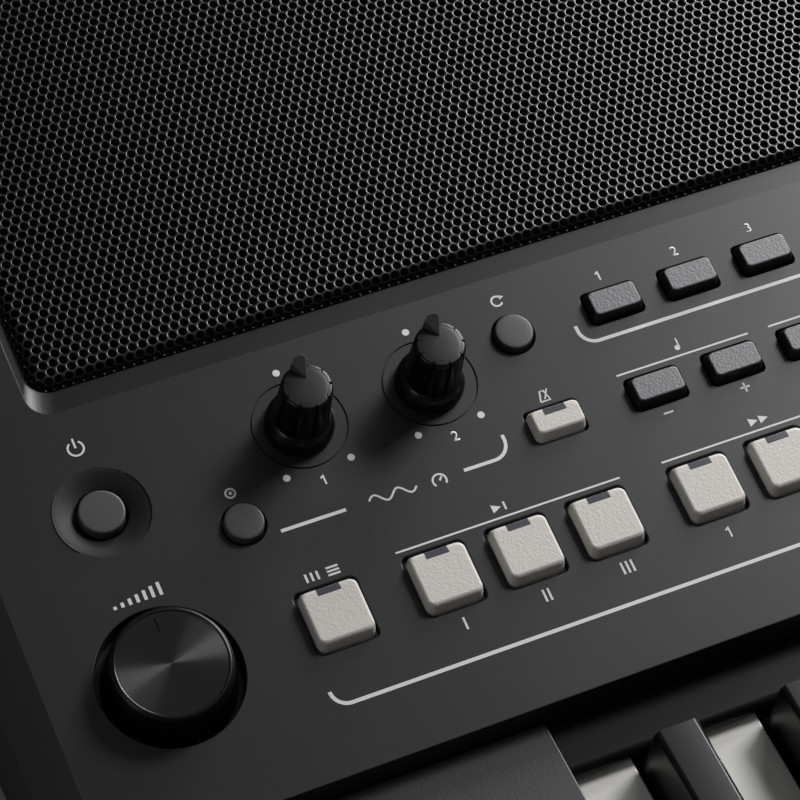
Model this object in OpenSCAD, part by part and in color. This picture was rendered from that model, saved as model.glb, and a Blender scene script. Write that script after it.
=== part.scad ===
// Arranger keyboard: 61 keys, sloped control panel, built-in speakers behind pierced metal grilles.
// X runs to the player's right, Y towards the rear and Z up. The origin is under the middle of the body.
// Panel places are measured from the panel's left end and from its front edge, along its slope.

/* [Body] */
// Overall width of the body
body_w = 1004; // [990:1:1060]
// Overall depth, from the front rail to the rear wall
body_d = 410; // [400:1:450]
// Overall height at the panel's rear edge, feet included
body_h = 134; // [128:1:150]
// Height of the rubber feet below the bottom case
foot_h = 6; // [4:0.5:10]
// Wall of the moulded cases
wall = 3; // [2.4:0.1:3.4]
// Height at which the top and bottom cases meet
split_z = 40; // [34:1:46]
// Radius of the body's upper rear edge
rear_r = 9; // [5:1:14]

/* [Panel] */
// Height of the panel's front edge
front_z = 90; // [88:0.5:94]
// Depth of the flat part of the body in front of the panel, keys included
key_bay_d = 155; // [153:1:158]
// Drop of the step in front of the panel
step_drop = 10; // [9:0.5:11]

/* [Buttons] */
// Distance between neighbouring button columns
pitch = 18; // [17.4:0.1:20]
// Width of a light cap's hole
light_hole_w = 13.7; // [13.2:0.1:14.2]
// Depth of a light cap's hole
light_hole_d = 14.2; // [13.6:0.1:14.8]
// Width of a dark cap's hole
dark_hole_w = 12.6; // [12:0.1:13.4]
// Depth of a dark cap's hole
dark_hole_d = 7.9; // [7.4:0.1:8.6]
// Gap between a cap and the edge of its hole
cap_gap = 0.45; // [0.4:0.05:0.6]
// Height of a cap above the panel
cap_h = 2.4; // [1.8:0.1:3.2]
// How far a button is pressed
press = 1.2; // [0.8:0.1:1.6]
// Width of the lamp window in a light cap
lamp_w = 5; // [4:0.1:6]
// Depth of the lamp window, front to back
lamp_d = 1.5; // [1:0.1:2]
// Radius of the small round button holes
round_hole_r = 4.65; // [4.4:0.05:5.2]
// Radius of the power button's dish where it meets the panel
dish_r = 9.85; // [9:0.05:11]
// Depth of the power button's dish
dish_depth = 2.6; // [2:0.1:3]
// Radius of the hole in the power button's dish
power_hole_r = 5.5; // [5:0.1:6]

/* [Button places] */
// Distance of the power button and the volume knob from the left end
edge_col_x = 24.9; // [24:0.1:28]
// Distance of the volume knob from the panel's front edge
volume_y = 31.1; // [28:0.1:34]
// Distance of the power button from the panel's front edge
power_y = 68.6; // [64:0.1:72]
// Distance of the first light button from the left end
accomp_x = 60.2; // [58:0.1:62]
// Distance of the first intro button from the left end
intro_x = 83.6; // [82:0.1:84]
// Distance of the first main button and the dark columns from the left end
main_x = 142.8; // [142:0.1:146]
// Distance of the light row from the panel's front edge
row_a_y = 31.9; // [30:0.1:34]
// Distance of the tempo row from the panel's front edge
row_b_y = 56.5; // [55:0.1:58]
// Distance of the style row from the panel's front edge
row_c_y = 78.1; // [77:0.1:80]
// Distance of the assign button from the left end
assign_x = 50.4; // [48:0.1:51]

/* [Knobs] */
// Distance of the first live knob from the left end
live_x = 69.4; // [69:0.1:70]
// Distance between the two live knobs
live_pitch = 29.05; // [28:0.05:30]
// Distance of the live knobs from the panel's front edge
live_y = 73.5; // [73:0.1:75]
// Radius of a live knob's skirt
live_skirt_r = 7.3; // [6.6:0.1:8]
// Radius of a live knob's fluted top
live_top_r = 5.2; // [4.8:0.1:5.8]
// Height of a live knob above the panel
live_h = 15; // [12:0.5:18]
// Number of flutes round a live knob
live_flutes = 16; // [12:1:20]
// Radius of the volume knob's well
well_r = 14.75; // [14:0.05:16]
// Gap between the volume knob's foot and its well
well_gap = 1.2; // [0.8:0.1:2]
// Radius of the volume knob's flat top
volume_top_r = 11.1; // [10:0.1:12]
// Height of the volume knob above the panel
volume_h = 6.8; // [5:0.1:9]
// Radius of the data dial
dial_r = 23; // [20:0.5:26]

/* [Grilles] */
// Width of each grille opening
grille_w = 294; // [270:1:300]
// Distance of the grille openings from the body's ends
grille_x = 21.1; // [20:0.1:26]
// Distance of the grille openings from the panel's front edge
grille_y = 98.5; // [97:0.1:102]
// Depth of each grille opening, front to back
grille_d = 128; // [120:1:132]
// Slope width of the bevel in front of each grille
bevel_front = 6.2; // [4:0.1:8]
// Slope width of the bevel at the sides and the rear of each grille
bevel_side = 2; // [1:0.1:3]
// Depth of the bevel
bevel_drop = 2.9; // [2:0.1:3.6]
// Distance between neighbouring holes in the grille sheet
mesh_pitch = 12; // [10:0.5:18]
// Width of the sheet left between two holes
mesh_web = 2.6; // [2:0.1:4]
// Thickness of the grille sheet
mesh_t = 0.8; // [0.6:0.1:1.2]
// Radius of each speaker cone
cone_r = 48; // [40:1:54]

/* [Keys] */
// Distance of the first white key from the left end
key_left = 92; // [90:0.5:94]
// Height of the white keys' tops
key_z = 78; // [77:0.5:79]
// Rise of the black keys above the white keys
black_rise = 12; // [10:0.5:13]
// Gap between neighbouring keys
key_gap = 1; // [0.8:0.1:1.4]
// Width of the right end block
end_w = 65.7; // [62:0.1:80]
// Length of a white key's wide head
head_len = 50; // [46:1:54]
// Height of a white key's front lip
lip_h = 20; // [16:1:21]
// Width of the slot that the white keys leave for a black key
black_slot = 13.4; // [13:0.1:14]
// Furthest angle of a pressed key
key_turn = 3.2; // [2:0.1:3.4]

/* [Wheels] */
// Radius of the pitch and modulation wheels
wheel_r = 25; // [23:0.5:27]
// Width of the wheels
wheel_w = 16; // [14:0.5:17]
// Height of a wheel's rim above the end block
wheel_rise = 12; // [10:0.5:14]
// Distance between the two wheels
wheel_pitch = 32; // [31:0.5:36]

/* [Display] */
// Width of the display window
screen_w = 132; // [110:1:160]
// Depth of the display window, along the slope
screen_d = 84; // [70:1:96]

/* [Rear] */
// Width of the rear plate
plate_w = 330; // [300:1:360]
// Distance between neighbouring pedal and audio sockets
jack_pitch = 30; // [26:0.5:34]
// Distance between neighbouring data and power sockets
port_pitch = 40; // [34:0.5:44]
// Distance of the last button column from the right end
right_edge = 106; // [96:1:120]

/* [Hidden] */

body_l = -body_w / 2;
front_y = -body_d / 2;
rear_y = body_d / 2;
panel_y = front_y + key_bay_d;
panel_run = rear_y - panel_y;
arc_y = panel_run - rear_r;
arc_z = body_h - rear_r - front_z;
tilt = atan(arc_z / arc_y) + asin(rear_r / norm([arc_y, arc_z]));
floor_z = foot_h + wall;
seat = 0.2;
board_t = 1.6;
board_top = 11.5;
board_in = wall + 14;
pot_gap = 0.3;
step_z = front_z - step_drop;
cheek_top = front_z - 6;
strip_t = 2.5;
strip_d = 12;
cheek_gap = 0.3;
cheek_l_w = key_left - cheek_gap;
cheek_r_w = end_w;
keys_w = body_w - key_left - end_w - cheek_gap;
key_pitch = keys_w / 36;
cheek_r = 14;
key_front = front_y + wall + 0.9;
pivot_y = panel_y + 15;
pivot_z = key_z - 8;
key_t = 12;
key_rear = pivot_y + 7;
rail_z = key_z - lip_h + 2;
flange = 1.1;
flange_t = 1.2;
shaft_r = 3;
foot_r = 11;
well_depth = 5.5;
tub_depth = 9;
tub_wall = 2.2;
pan_gap = 1.2;
pan_top = 2;
dial_x = body_w / 2 + 130;
dial_y = 58;
screen_y = 122;
wheel_y = front_y + 88;
wheel_z = cheek_top + wheel_rise - wheel_r;
wheel_edge = 27;
wheel_x1 = body_l + wheel_edge;
wheel_x2 = wheel_x1 + wheel_pitch;
axle_r = 2.5;
axle_gap = 0.1;
axle_stub = 3.2;
rib_gap = 0.6;
rib_t = 2.6;
rib_h = 6;
jack_z = 62;
jack_r = 3.25;
mini_r = 1.8;
jack_depth = 20;
plate_h = 30;
plate_x = -60;
port_edge = 25;
rod_r = 1.5;
rod_gap = 0.1;
bracket_t = 3;
key_drop = (pivot_y - front_y - 14) * sin(key_turn);
guide_z = key_z - key_t - key_drop - 1;

// Button groups: [x, y] on the panel.
intro_at = [for (i = [0:2]) [intro_x + i * pitch, row_a_y]];
main_at = [for (i = [0:4]) [main_x + i * pitch, row_a_y]];
transport_at = [for (i = [0:5]) [main_x + (5.6 + i) * pitch, row_a_y]];
style_at = [for (i = [0:8]) [main_x + i * pitch, row_c_y]];
tempo_at = [for (i = [0:3]) [main_x + i * pitch, row_b_y]];
metronome_at = [intro_x + 2 * pitch, row_b_y];
tap_at = [intro_x + 2 * pitch, row_c_y];
assign_at = [assign_x, row_b_y];
accomp_at = [accomp_x, row_a_y];
volume_at = [edge_col_x, volume_y];
power_at = [edge_col_x, power_y];
live_at = [for (i = [0, 1]) [live_x + i * live_pitch, live_y]];
display_at = [for (s = [-1, 1], j = [0:3]) [body_w / 2 + s * (screen_w / 2 + 16), screen_y + 12 + j * 20]];
voice_at = [for (r = [row_b_y, row_c_y], i = [9:-1:0]) [body_w - right_edge - i * pitch, r]];
memory_at = [for (i = [9:-1:0]) [body_w - right_edge - i * pitch, row_a_y]];
round_at = [assign_at, tap_at];
light_at = concat(intro_at, main_at, transport_at, memory_at, [accomp_at]);
dark_at = concat(style_at, tempo_at, display_at, voice_at);
post_at = [for (x = [-1, 1] * (body_w / 2 - 10), y = [panel_y + 16, rear_y - 12]) [x, y]];
inner_post_at = [for (x = [-155, 155]) [x, rear_y - 12]];
board_post_at = [for (x = [main_x - 0.7 * pitch, body_w / 2 - screen_w, body_w / 2 + screen_w, body_w - right_edge - 1.3 * pitch],
    y = [(row_a_y + row_b_y) / 2, (row_b_y + row_c_y) / 2]) [x, y]];

// Points of a rounded rectangle about the origin.
function arc(cx, cy, r, a, n) = [for (i = [0:n]) [cx + r * cos(a + 90 * i / n), cy + r * sin(a + 90 * i / n)]];
function rounded(w, d, r, n = 3) = concat(
    arc(w / 2 - r, d / 2 - r, r, 0, n), arc(r - w / 2, d / 2 - r, r, 90, n),
    arc(r - w / 2, r - d / 2, r, 180, n), arc(w / 2 - r, r - d / 2, r, 270, n));

// Height of the panel's surface above a point on the Y axis.
function panel_z(y) = front_z + (y - panel_y) * tan(tilt);

module on_panel(p = [0, 0], w = 0) {
    translate([body_l, panel_y, front_z]) rotate([tilt, 0, 0]) translate([p[0], p[1], w]) children();
}

// Extrudes a profile drawn in Y and Z along X, from x to x + w.
module along_x(x, w) {
    translate([x, 0, 0]) rotate([90, 0, 90]) linear_extrude(w) children();
}

// Extrudes a profile drawn in X and Z along Y, centred, for a length d.
module along_y(d) {
    rotate([90, 0, 0]) translate([0, 0, -d / 2]) linear_extrude(d) children();
}

// Side of a moulded block: tapered flanks, rounded upper edges and a straight skirt below zero.
module taper_side(base, top, h, skirt, e) {
    b = base / 2;
    a = top / 2;
    polygon([[-b, -skirt], [b, -skirt], [b, 0], [a, h - e], [a - 0.3 * e, h - 0.3 * e], [a - e, h],
        [e - a, h], [0.3 * e - a, h - 0.3 * e], [-a, h - e], [-b, 0]]);
}

// A button's cap, its skirt in the panel, the flange that holds it and the stem to its switch.
module cap(hole, top, h, r = 1.4, e = 0.7) {
    base = [hole[0] - 2 * cap_gap, hole[1] - 2 * cap_gap];
    skirt = wall + seat + 0.01;
    intersection() {
        along_y(base[1] + 2) taper_side(base[0], top[0], h, skirt, e);
        rotate([0, 0, 90]) along_y(base[0] + 2) taper_side(base[1], top[1], h, skirt, e);
        translate([0, 0, -skirt]) linear_extrude(h + skirt + 1) polygon(rounded(base[0], base[1], r));
    }
    translate([0, 0, -wall - seat - flange_t])
        linear_extrude(flange_t) polygon(rounded(hole[0] + 2 * flange, hole[1] + 2 * flange, r));
    translate([-2, -2, press + pot_gap - board_top]) cube([4, 4, board_top - wall - press - 2 * pot_gap]);
}

light_hole = [light_hole_w, light_hole_d];
light_top = [light_hole_w - 1.7, light_hole_d - 3];
dark_hole = [dark_hole_w, dark_hole_d];
dark_top = [dark_hole_w - 2.3, dark_hole_d - 2.7];
metronome_top = [light_hole_w - 3.1, dark_hole_d - 2.8];
metronome_hole = [light_hole_w - 1.4, dark_hole_d];
lamp_drop = 1.4;

// The window's block, at the back edge of a cap's top face.
module lamp_block(top, grow = 0) {
    translate([-lamp_w / 2 - grow, top[1] / 2 - lamp_d, cap_h - lamp_drop - grow])
        cube([lamp_w + 2 * grow, lamp_d + 0.35, lamp_drop - 0.15 + 4 * grow]);
}

module light_cap() {
    difference() {
        cap(light_hole, light_top, cap_h);
        translate([-lamp_w / 2, light_top[1] / 2 - lamp_d, cap_h - lamp_drop]) cube([lamp_w, 4, 4]);
    }
}

module dark_cap() {
    cap(dark_hole, dark_top, cap_h, 1.2, 0.6);
}

module light_button(p) {
    color("#bdb9b4") on_panel(p) light_cap();
}

module lamp(p, top = light_top) {
    color("#5c5c64") on_panel(p) lamp_block(top);
}

module dark_button(p) {
    color("#3c3c3e") on_panel(p) dark_cap();
}

// A small round button, turned about its own axis.
module round_cap(r, h) {
    e = 0.6;
    rotate_extrude($fn = 48) polygon([[0, -wall - seat - flange_t], [r + cap_gap + flange, -wall - seat - flange_t],
        [r + cap_gap + flange, -wall - seat], [r, -wall - seat], [r, h - e], [r - 0.3 * e, h - 0.3 * e],
        [r - e, h], [r - 1.6, h + 0.12], [0, h + 0.2]]);
    translate([0, 0, press + pot_gap - board_top]) cylinder(h = board_top - wall - press - 2 * pot_gap, r = 2, $fn = 32);
}

// ---- Fixed pieces of the housing ----

// The body's section between the panel's front edge and the rear wall, inset by t.
module body_section(t) {
    top_r = rear_y - t;
    c = [rear_y - rear_r, body_h - rear_r];
    r = rear_r - t;
    z0 = t > 0 ? split_z - 1 : split_z;
    polygon(concat([[panel_y + t, z0], [panel_y + t, panel_z(panel_y + t) - t / cos(tilt)],
        [c[0] - r * sin(tilt), c[1] + r * cos(tilt)]],
        [for (i = [0:6]) let (a = 90 - i * 15) [c[0] + r * cos(a), c[1] + r * sin(a)]], [[top_r, z0]]));
}

module button_holes() {
    for (p = light_at) translate(p) polygon(rounded(light_hole_w, light_hole_d, 1.6));
    for (p = dark_at) translate(p) polygon(rounded(dark_hole_w, dark_hole_d, 1.3));
    translate(metronome_at) polygon(rounded(metronome_hole[0], metronome_hole[1], 1.3));
}

module round_holes() {
    for (p = round_at) translate(p) circle(r = round_hole_r, $fn = 48);
    for (p = live_at) translate(p) circle(r = shaft_r + 0.5, $fn = 32);
    translate([dial_x, dial_y]) circle(r = shaft_r + 0.5, $fn = 32);
}

// The tub behind a grille, its bevelled mouth and the hole for its speaker.
module grille_place(side) {
    x = side < 0 ? grille_x : body_w - grille_x - grille_w;
    on_panel([x + grille_w / 2, grille_y + grille_d / 2]) children();
}

module grille_mouth() {
    translate([0, 0, -tub_depth]) linear_extrude(tub_depth + 1) polygon(rounded(grille_w, grille_d, 5, 4));
    intersection() {
        along_y(grille_d + 30) polygon([[-grille_w / 2, -bevel_drop], [grille_w / 2, -bevel_drop],
            [grille_w / 2 + bevel_side * 1.02, 0.06], [-grille_w / 2 - bevel_side * 1.02, 0.06]]);
        rotate([0, 0, 90]) along_y(grille_w + 30) polygon([[-grille_d / 2, -bevel_drop], [grille_d / 2, -bevel_drop],
            [grille_d / 2 + bevel_side * 1.02, 0.06], [-grille_d / 2 - bevel_front * 1.02, 0.06]]);
        translate([0, (bevel_side - bevel_front) / 2, -tub_depth]) linear_extrude(tub_depth + 1)
            polygon(rounded(grille_w + 2 * bevel_side, grille_d + bevel_front + bevel_side, 7, 5));
    }
    translate([0, 0, -tub_depth - wall - 4]) cylinder(h = 12, r = cone_r + 3, $fn = 96);
}

module tub() {
    translate([0, 0, -tub_depth - tub_wall]) linear_extrude(tub_depth + tub_wall - 1)
        polygon(rounded(grille_w + 2 * tub_wall, grille_d + 2 * tub_wall, 5 + tub_wall, 4));
}

module top_case() {
    color("#3a3a3b") difference() {
        union() {
            difference() {
                along_x(body_l, body_w) body_section(0);
                along_x(body_l + wall, body_w - 2 * wall) body_section(wall);
                translate([body_l + wall, panel_y - 1, split_z - 1]) cube([body_w - 2 * wall, wall + 2, step_z - split_z + 1]);
            }
            for (s = [-1, 1]) grille_place(s) tub();
            on_panel(volume_at, -well_depth - wall) cylinder(h = well_depth + wall - 1, r = well_r + wall, $fn = 64);
            on_panel(power_at, -dish_depth - wall) cylinder(h = dish_depth + wall - 1, r = dish_r + 1, $fn = 64);
            for (p = concat(post_at, inner_post_at)) translate([p[0], p[1], floor_z + seat])
                cylinder(h = panel_z(p[1]) - floor_z - seat - 1.5, r = 5, $fn = 32);
            for (p = board_post_at) on_panel(p, -board_top) cylinder(h = board_top - 1, r = 2.4, $fn = 24);
        }
        on_panel([0, 0], -wall - 4) linear_extrude(wall + 8) button_holes();
        on_panel([0, 0], -wall - 4) linear_extrude(wall + 8) round_holes();
        for (s = [-1, 1]) grille_place(s) grille_mouth();
        on_panel(volume_at, -well_depth) cylinder(h = well_depth + 4, r = well_r, $fn = 96);
        on_panel(volume_at, -well_depth - wall - 1) cylinder(h = 9, r = shaft_r + 0.5, $fn = 32);
        on_panel(power_at) rotate_extrude($fn = 96) polygon(concat([[0, 3], [0, -dish_depth]],
            [for (i = [0:8]) let (r = power_hole_r + (dish_r - power_hole_r) * i / 8)
                [r, -dish_depth * pow(1 - (r - power_hole_r) / (dish_r - power_hole_r), 1.6)]], [[dish_r, 3]]));
        on_panel(power_at, -12) cylinder(h = 20, r = power_hole_r, $fn = 64);
        on_panel([body_w / 2, screen_y + screen_d / 2], -1.6) linear_extrude(6) polygon(rounded(screen_w, screen_d, 3));
        translate([plate_x - plate_w / 2, rear_y - wall - 1, jack_z - plate_h / 2]) cube([plate_w, wall + 2, plate_h]);
        for (p = concat(post_at, inner_post_at)) translate([p[0], p[1], floor_z - 1]) cylinder(h = 16, r = 1.6, $fn = 24);
    }
}

module bottom_case() {
    color("#2b2b2c") difference() {
        union() {
            difference() {
                translate([body_l, front_y, foot_h]) cube([body_w, body_d, rail_z - foot_h]);
                translate([body_l + wall, front_y + wall, floor_z]) cube([body_w - 2 * wall, body_d - 2 * wall, rail_z]);
                translate([body_l - 1, panel_y, split_z]) cube([body_w + 2, body_d, rail_z]);
                translate([body_l - 1, front_y - 1, split_z]) cube([cheek_l_w + seat + 1, body_d + 2, rail_z]);
                translate([body_w / 2 - cheek_r_w - seat, front_y - 1, split_z]) cube([cheek_r_w + 2, body_d + 2, rail_z]);
            }
            for (x = [-300, 0, 300]) translate([x - 1.5, front_y + wall - 1, floor_z - 0.5]) cube([3, body_d - 2 * wall + 2, rib_h + 0.5]);
        }
        for (p = concat(post_at, inner_post_at)) translate([p[0], p[1], foot_h - 1]) {
            cylinder(h = wall + 3, r = 2, $fn = 24);
            cylinder(h = 1 + 1.4, r = 3.8, $fn = 32);
        }
    }
}

// An end block's section along Y, inset by t.
module cheek_section(t) {
    r = cheek_r - t;
    z0 = t > 0 ? split_z - 1 : split_z;
    polygon(concat([[front_y + t, z0]],
        [for (i = [0:5]) let (a = 180 - i * 18) [front_y + cheek_r + r * cos(a), cheek_top - cheek_r + r * sin(a)]],
        [[panel_y - seat - t, cheek_top - t], [panel_y - seat - t, z0]]));
}

module left_cheek() {
    slot = 2 * sqrt(wheel_r * wheel_r - pow(wheel_r - wheel_rise - wall, 2)) + 2;
    color("#303031") difference() {
        union() {
            difference() {
                along_x(body_l, cheek_l_w) cheek_section(0);
                along_x(body_l + wall, cheek_l_w - 2 * wall) cheek_section(wall);
            }
            for (x = [wheel_x1, wheel_x2], s = [-1, 1])
                translate([x + s * (wheel_w / 2 + rib_gap + rib_t / 2) - rib_t / 2, wheel_y - 9, wheel_z - 8])
                    cube([rib_t, 18, cheek_top - wheel_z + 8 - wall / 2]);
        }
        for (x = [wheel_x1, wheel_x2]) {
            translate([x - wheel_w / 2 - rib_gap, wheel_y - slot / 2, cheek_top - wall - 2]) cube([wheel_w + 2 * rib_gap, slot, wall + 4]);
            translate([x - wheel_w / 2 - 6, wheel_y, wheel_z]) rotate([0, 90, 0]) cylinder(h = wheel_w + 12, r = axle_r + axle_gap, $fn = 48);
        }
    }
}

module right_cheek() {
    color("#303031") difference() {
        along_x(body_w / 2 - cheek_r_w, cheek_r_w) cheek_section(0);
        along_x(body_w / 2 - cheek_r_w + wall, cheek_r_w - 2 * wall) cheek_section(wall);
    }
}

// The glossy strip that closes the gap between the keys and the panel.
module key_strip() {
    z = key_z + 1.5;
    x = body_l + cheek_l_w + seat;
    color("#111112") along_x(x, body_w - cheek_l_w - cheek_r_w - 2 * seat)
        polygon(concat([[panel_y - seat, z]], [[panel_y - seat, z + strip_t]],
            [for (i = [0:4]) let (a = 90 + i * 22.5) [panel_y - strip_d + 2 + 2 * cos(a), z + strip_t - 2 + 2 * sin(a)]],
            [[panel_y - strip_d, z]]));
}

// Chassis under the keys: a front guide rail, a floor and the rear rail that the keys turn on.
module key_frame() {
    x = body_l + key_left;
    foot = floor_z + rib_h + seat;
    deck = floor_z + 21;
    rail_top = key_z - key_t - cheek_gap;
    color("#8f8f8a") difference() {
        union() {
            along_x(x, keys_w) polygon([
                [front_y + 12, foot], [front_y + 12, guide_z], [front_y + 16, guide_z], [front_y + 16, deck + 4],
                [pivot_y - 24, deck + 4], [pivot_y - 24, deck + 16], [pivot_y - 3, rail_top], [key_rear, rail_top],
                [key_rear, foot], [key_rear - 4, foot], [key_rear - 4, deck], [front_y + 16, deck], [front_y + 16, foot]]);
            for (e = [x - bracket_t, x + keys_w]) translate([e, key_rear - 12, foot]) cube([bracket_t, 12, pivot_z + 4 - foot]);
        }
        for (e = [x - bracket_t, x + keys_w]) translate([e - 1, pivot_y, pivot_z]) rotate([0, 90, 0])
            cylinder(h = bracket_t + 2, r = rod_r + rod_gap, $fn = 32);
    }
}

// Steel rod through the tails of all the keys, held by the chassis at both ends.
module key_rod() {
    color("#a0a0a2") translate([body_l + key_left - bracket_t, pivot_y, pivot_z]) rotate([0, 90, 0])
        cylinder(h = keys_w + 2 * bracket_t, r = rod_r, $fn = 32);
}

module rod_bore(x, w) {
    translate([x, pivot_y, pivot_z]) rotate([0, 90, 0]) cylinder(h = w, r = rod_r + rod_gap, $fn = 32);
}

module panel_board() {
    color("#2f5a3a") on_panel([0, 0], -board_top - board_t) linear_extrude(board_t - seat) polygon([
        [board_in, 8], [body_w - board_in, 8], [body_w - board_in, grille_y - 7], [board_in, grille_y - 7]]);
}

// Pierced pan with turned-down edges.
module grille(side) {
    w = grille_w - 2 * pan_gap;
    d = grille_d - 2 * pan_gap;
    step_y = mesh_pitch * sqrt(3) / 2;
    rows = floor((d / 2 - 6) / step_y);
    hole_r = (mesh_pitch - mesh_web) / sqrt(3);
    color("#161617") grille_place(side) {
        translate([0, 0, -pan_top - mesh_t]) linear_extrude(mesh_t) difference() {
            polygon(rounded(w, d, 4, 4));
            for (j = [-rows:rows]) {
                odd = (j % 2 == 0) ? 0 : 0.5;
                cols = floor((w / 2 - 6) / mesh_pitch - odd);
                for (i = [-cols:cols + (odd > 0 ? 1 : 0)])
                    translate([(i - odd) * mesh_pitch, j * step_y]) rotate(30) circle(r = hole_r, $fn = 6);
            }
        }
        translate([0, 0, seat - tub_depth]) linear_extrude(tub_depth - seat - pan_top - mesh_t / 2) difference() {
            polygon(rounded(w, d, 4, 4));
            polygon(rounded(w - 2 * mesh_t, d - 2 * mesh_t, 4 - mesh_t, 4));
        }
    }
}

module speaker(side) {
    top = -tub_depth - tub_wall - seat;
    color("#222224") grille_place(side) rotate_extrude($fn = 72) polygon([
        [0, top - 12], [12, top - 9], [15, top - 14], [cone_r - 6, top - 3], [cone_r - 3, top - 1], [cone_r, top],
        [cone_r + 9, top], [cone_r + 9, top - 2.2], [cone_r + 1, top - 4], [34, top - 22], [30, top - 24], [30, top - 38],
        [0, top - 38]]);
}

module display_lens() {
    color("#15171a") on_panel([body_w / 2, screen_y + screen_d / 2], seat - 1.6)
        linear_extrude(1.6 - seat) polygon(rounded(screen_w - 0.6, screen_d - 0.6, 2.7));
}

// Rear plate with the audio, pedal and data sockets.
mini_x = plate_x - plate_w / 2 + port_edge;
jack_at = [for (i = [1:4]) mini_x + i * jack_pitch];
dc_x = plate_x + plate_w / 2 - port_edge;
usb_b_x = dc_x - port_pitch;
usb_a_x = dc_x - 2 * port_pitch;

module rear_jacks() {
    color("#1d1d1e") difference() {
        union() {
            translate([plate_x - plate_w / 2 + 0.2, rear_y - wall, jack_z - plate_h / 2 + 0.2]) cube([plate_w - 0.4, 2, plate_h - 0.4]);
            for (x = jack_at) translate([x, rear_y - 0.6, jack_z]) rotate([90, 0, 0]) cylinder(h = jack_depth, r = 6, $fn = 48);
            translate([mini_x, rear_y - 0.6, jack_z]) rotate([90, 0, 0]) cylinder(h = 14, r = 4, $fn = 32);
            translate([usb_a_x - 8, rear_y - 16, jack_z - 5]) cube([16, 15.4, 10]);
            translate([usb_b_x - 7, rear_y - 16, jack_z - 7]) cube([14, 15.4, 14]);
        }
        for (x = jack_at) translate([x, rear_y + 1, jack_z]) rotate([90, 0, 0]) cylinder(h = jack_depth - 1, r = jack_r, $fn = 48);
        translate([mini_x, rear_y + 1, jack_z]) rotate([90, 0, 0]) cylinder(h = 13, r = mini_r, $fn = 32);
        translate([usb_a_x - 6.6, rear_y - 14, jack_z - 2.9]) cube([13.2, 16, 5.8]);
        translate([usb_b_x - 4.3, rear_y - 14, jack_z - 3.9]) cube([8.6, 16, 7.8]);
        translate([dc_x, rear_y + 1, jack_z]) rotate([90, 0, 0]) cylinder(h = 8, r = 6, $fn = 48);
    }
}

module dc_inlet() {
    color("#0e0e0f") {
        difference() {
            translate([dc_x, rear_y - 0.6, jack_z]) rotate([90, 0, 0]) cylinder(h = 13, r = 5.7, $fn = 48);
            translate([dc_x, rear_y, jack_z]) rotate([90, 0, 0]) cylinder(h = 11, r = 3.1, $fn = 48);
        }
        translate([dc_x, rear_y - 2, jack_z]) rotate([90, 0, 0]) cylinder(h = 10, r = 1.05, $fn = 32);
    }
}

module feet() {
    color("#161616") for (x = [-1, 1] * (body_w / 2 - 60), y = [front_y + 35, rear_y - 40])
        translate([x, y, 0]) rotate_extrude($fn = 48) polygon([[0, 0], [foot_r - 1, 0], [foot_r, 1], [foot_r, foot_h], [0, foot_h]]);
    color("#161616") translate([0, rear_y - 40, 0])
        rotate_extrude($fn = 48) polygon([[0, 0], [foot_r - 1, 0], [foot_r, 1], [foot_r, foot_h], [0, foot_h]]);
}

module case_screws() {
    color("#8a8a8c") for (p = concat(post_at, inner_post_at)) translate([p[0], p[1], foot_h + 0.1]) {
        difference() {
            cylinder(h = 1.1, r = 3.4, $fn = 32);
            for (a = [0, 90]) rotate(a) translate([-1.8, -0.35, -0.5]) cube([3.6, 0.7, 1.1]);
        }
        translate([0, 0, 1]) cylinder(h = 12, r = 1.5, $fn = 24);
    }
}

// ---- Round controls ----

module power_button() {
    color("#404042") on_panel(power_at) {
        r = power_hole_r - 0.6;
        rotate_extrude($fn = 64) polygon([[0, -dish_depth - wall - flange_t - seat], [r + 1.8, -dish_depth - wall - flange_t - seat],
            [r + 1.8, -dish_depth - wall - seat], [r, -dish_depth - wall - seat], [r, -0.5], [r - 0.2, -0.1], [r - 0.6, 0.1], [0, 0.1]]);
        translate([0, 0, press + pot_gap - board_top]) cylinder(h = 4, r = 2, $fn = 32);
    }
}

module volume_knob() {
    foot = well_r - well_gap;
    flutes = 60;
    color("#19191a") on_panel(volume_at) {
        difference() {
            union() {
                rotate_extrude($fn = 96) polygon([[0, seat - well_depth], [foot - 0.4, seat - well_depth], [foot, 0.6 - well_depth],
                    [foot - 0.6, 0], [volume_top_r + 0.9, volume_h - 1.6], [volume_top_r + 0.5, volume_h - 0.3], [volume_top_r, volume_h],
                    [volume_top_r - 0.5, volume_h - 0.15], [0, volume_h - 0.15]]);
                translate([0, 0, pot_gap - board_top]) cylinder(h = board_top - well_depth, r = shaft_r, $fn = 48);
            }
            translate([-0.35, volume_top_r * 0.62, volume_h - 0.45]) cube([0.7, volume_top_r * 0.26, 1]);
        }
    }
}

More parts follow.
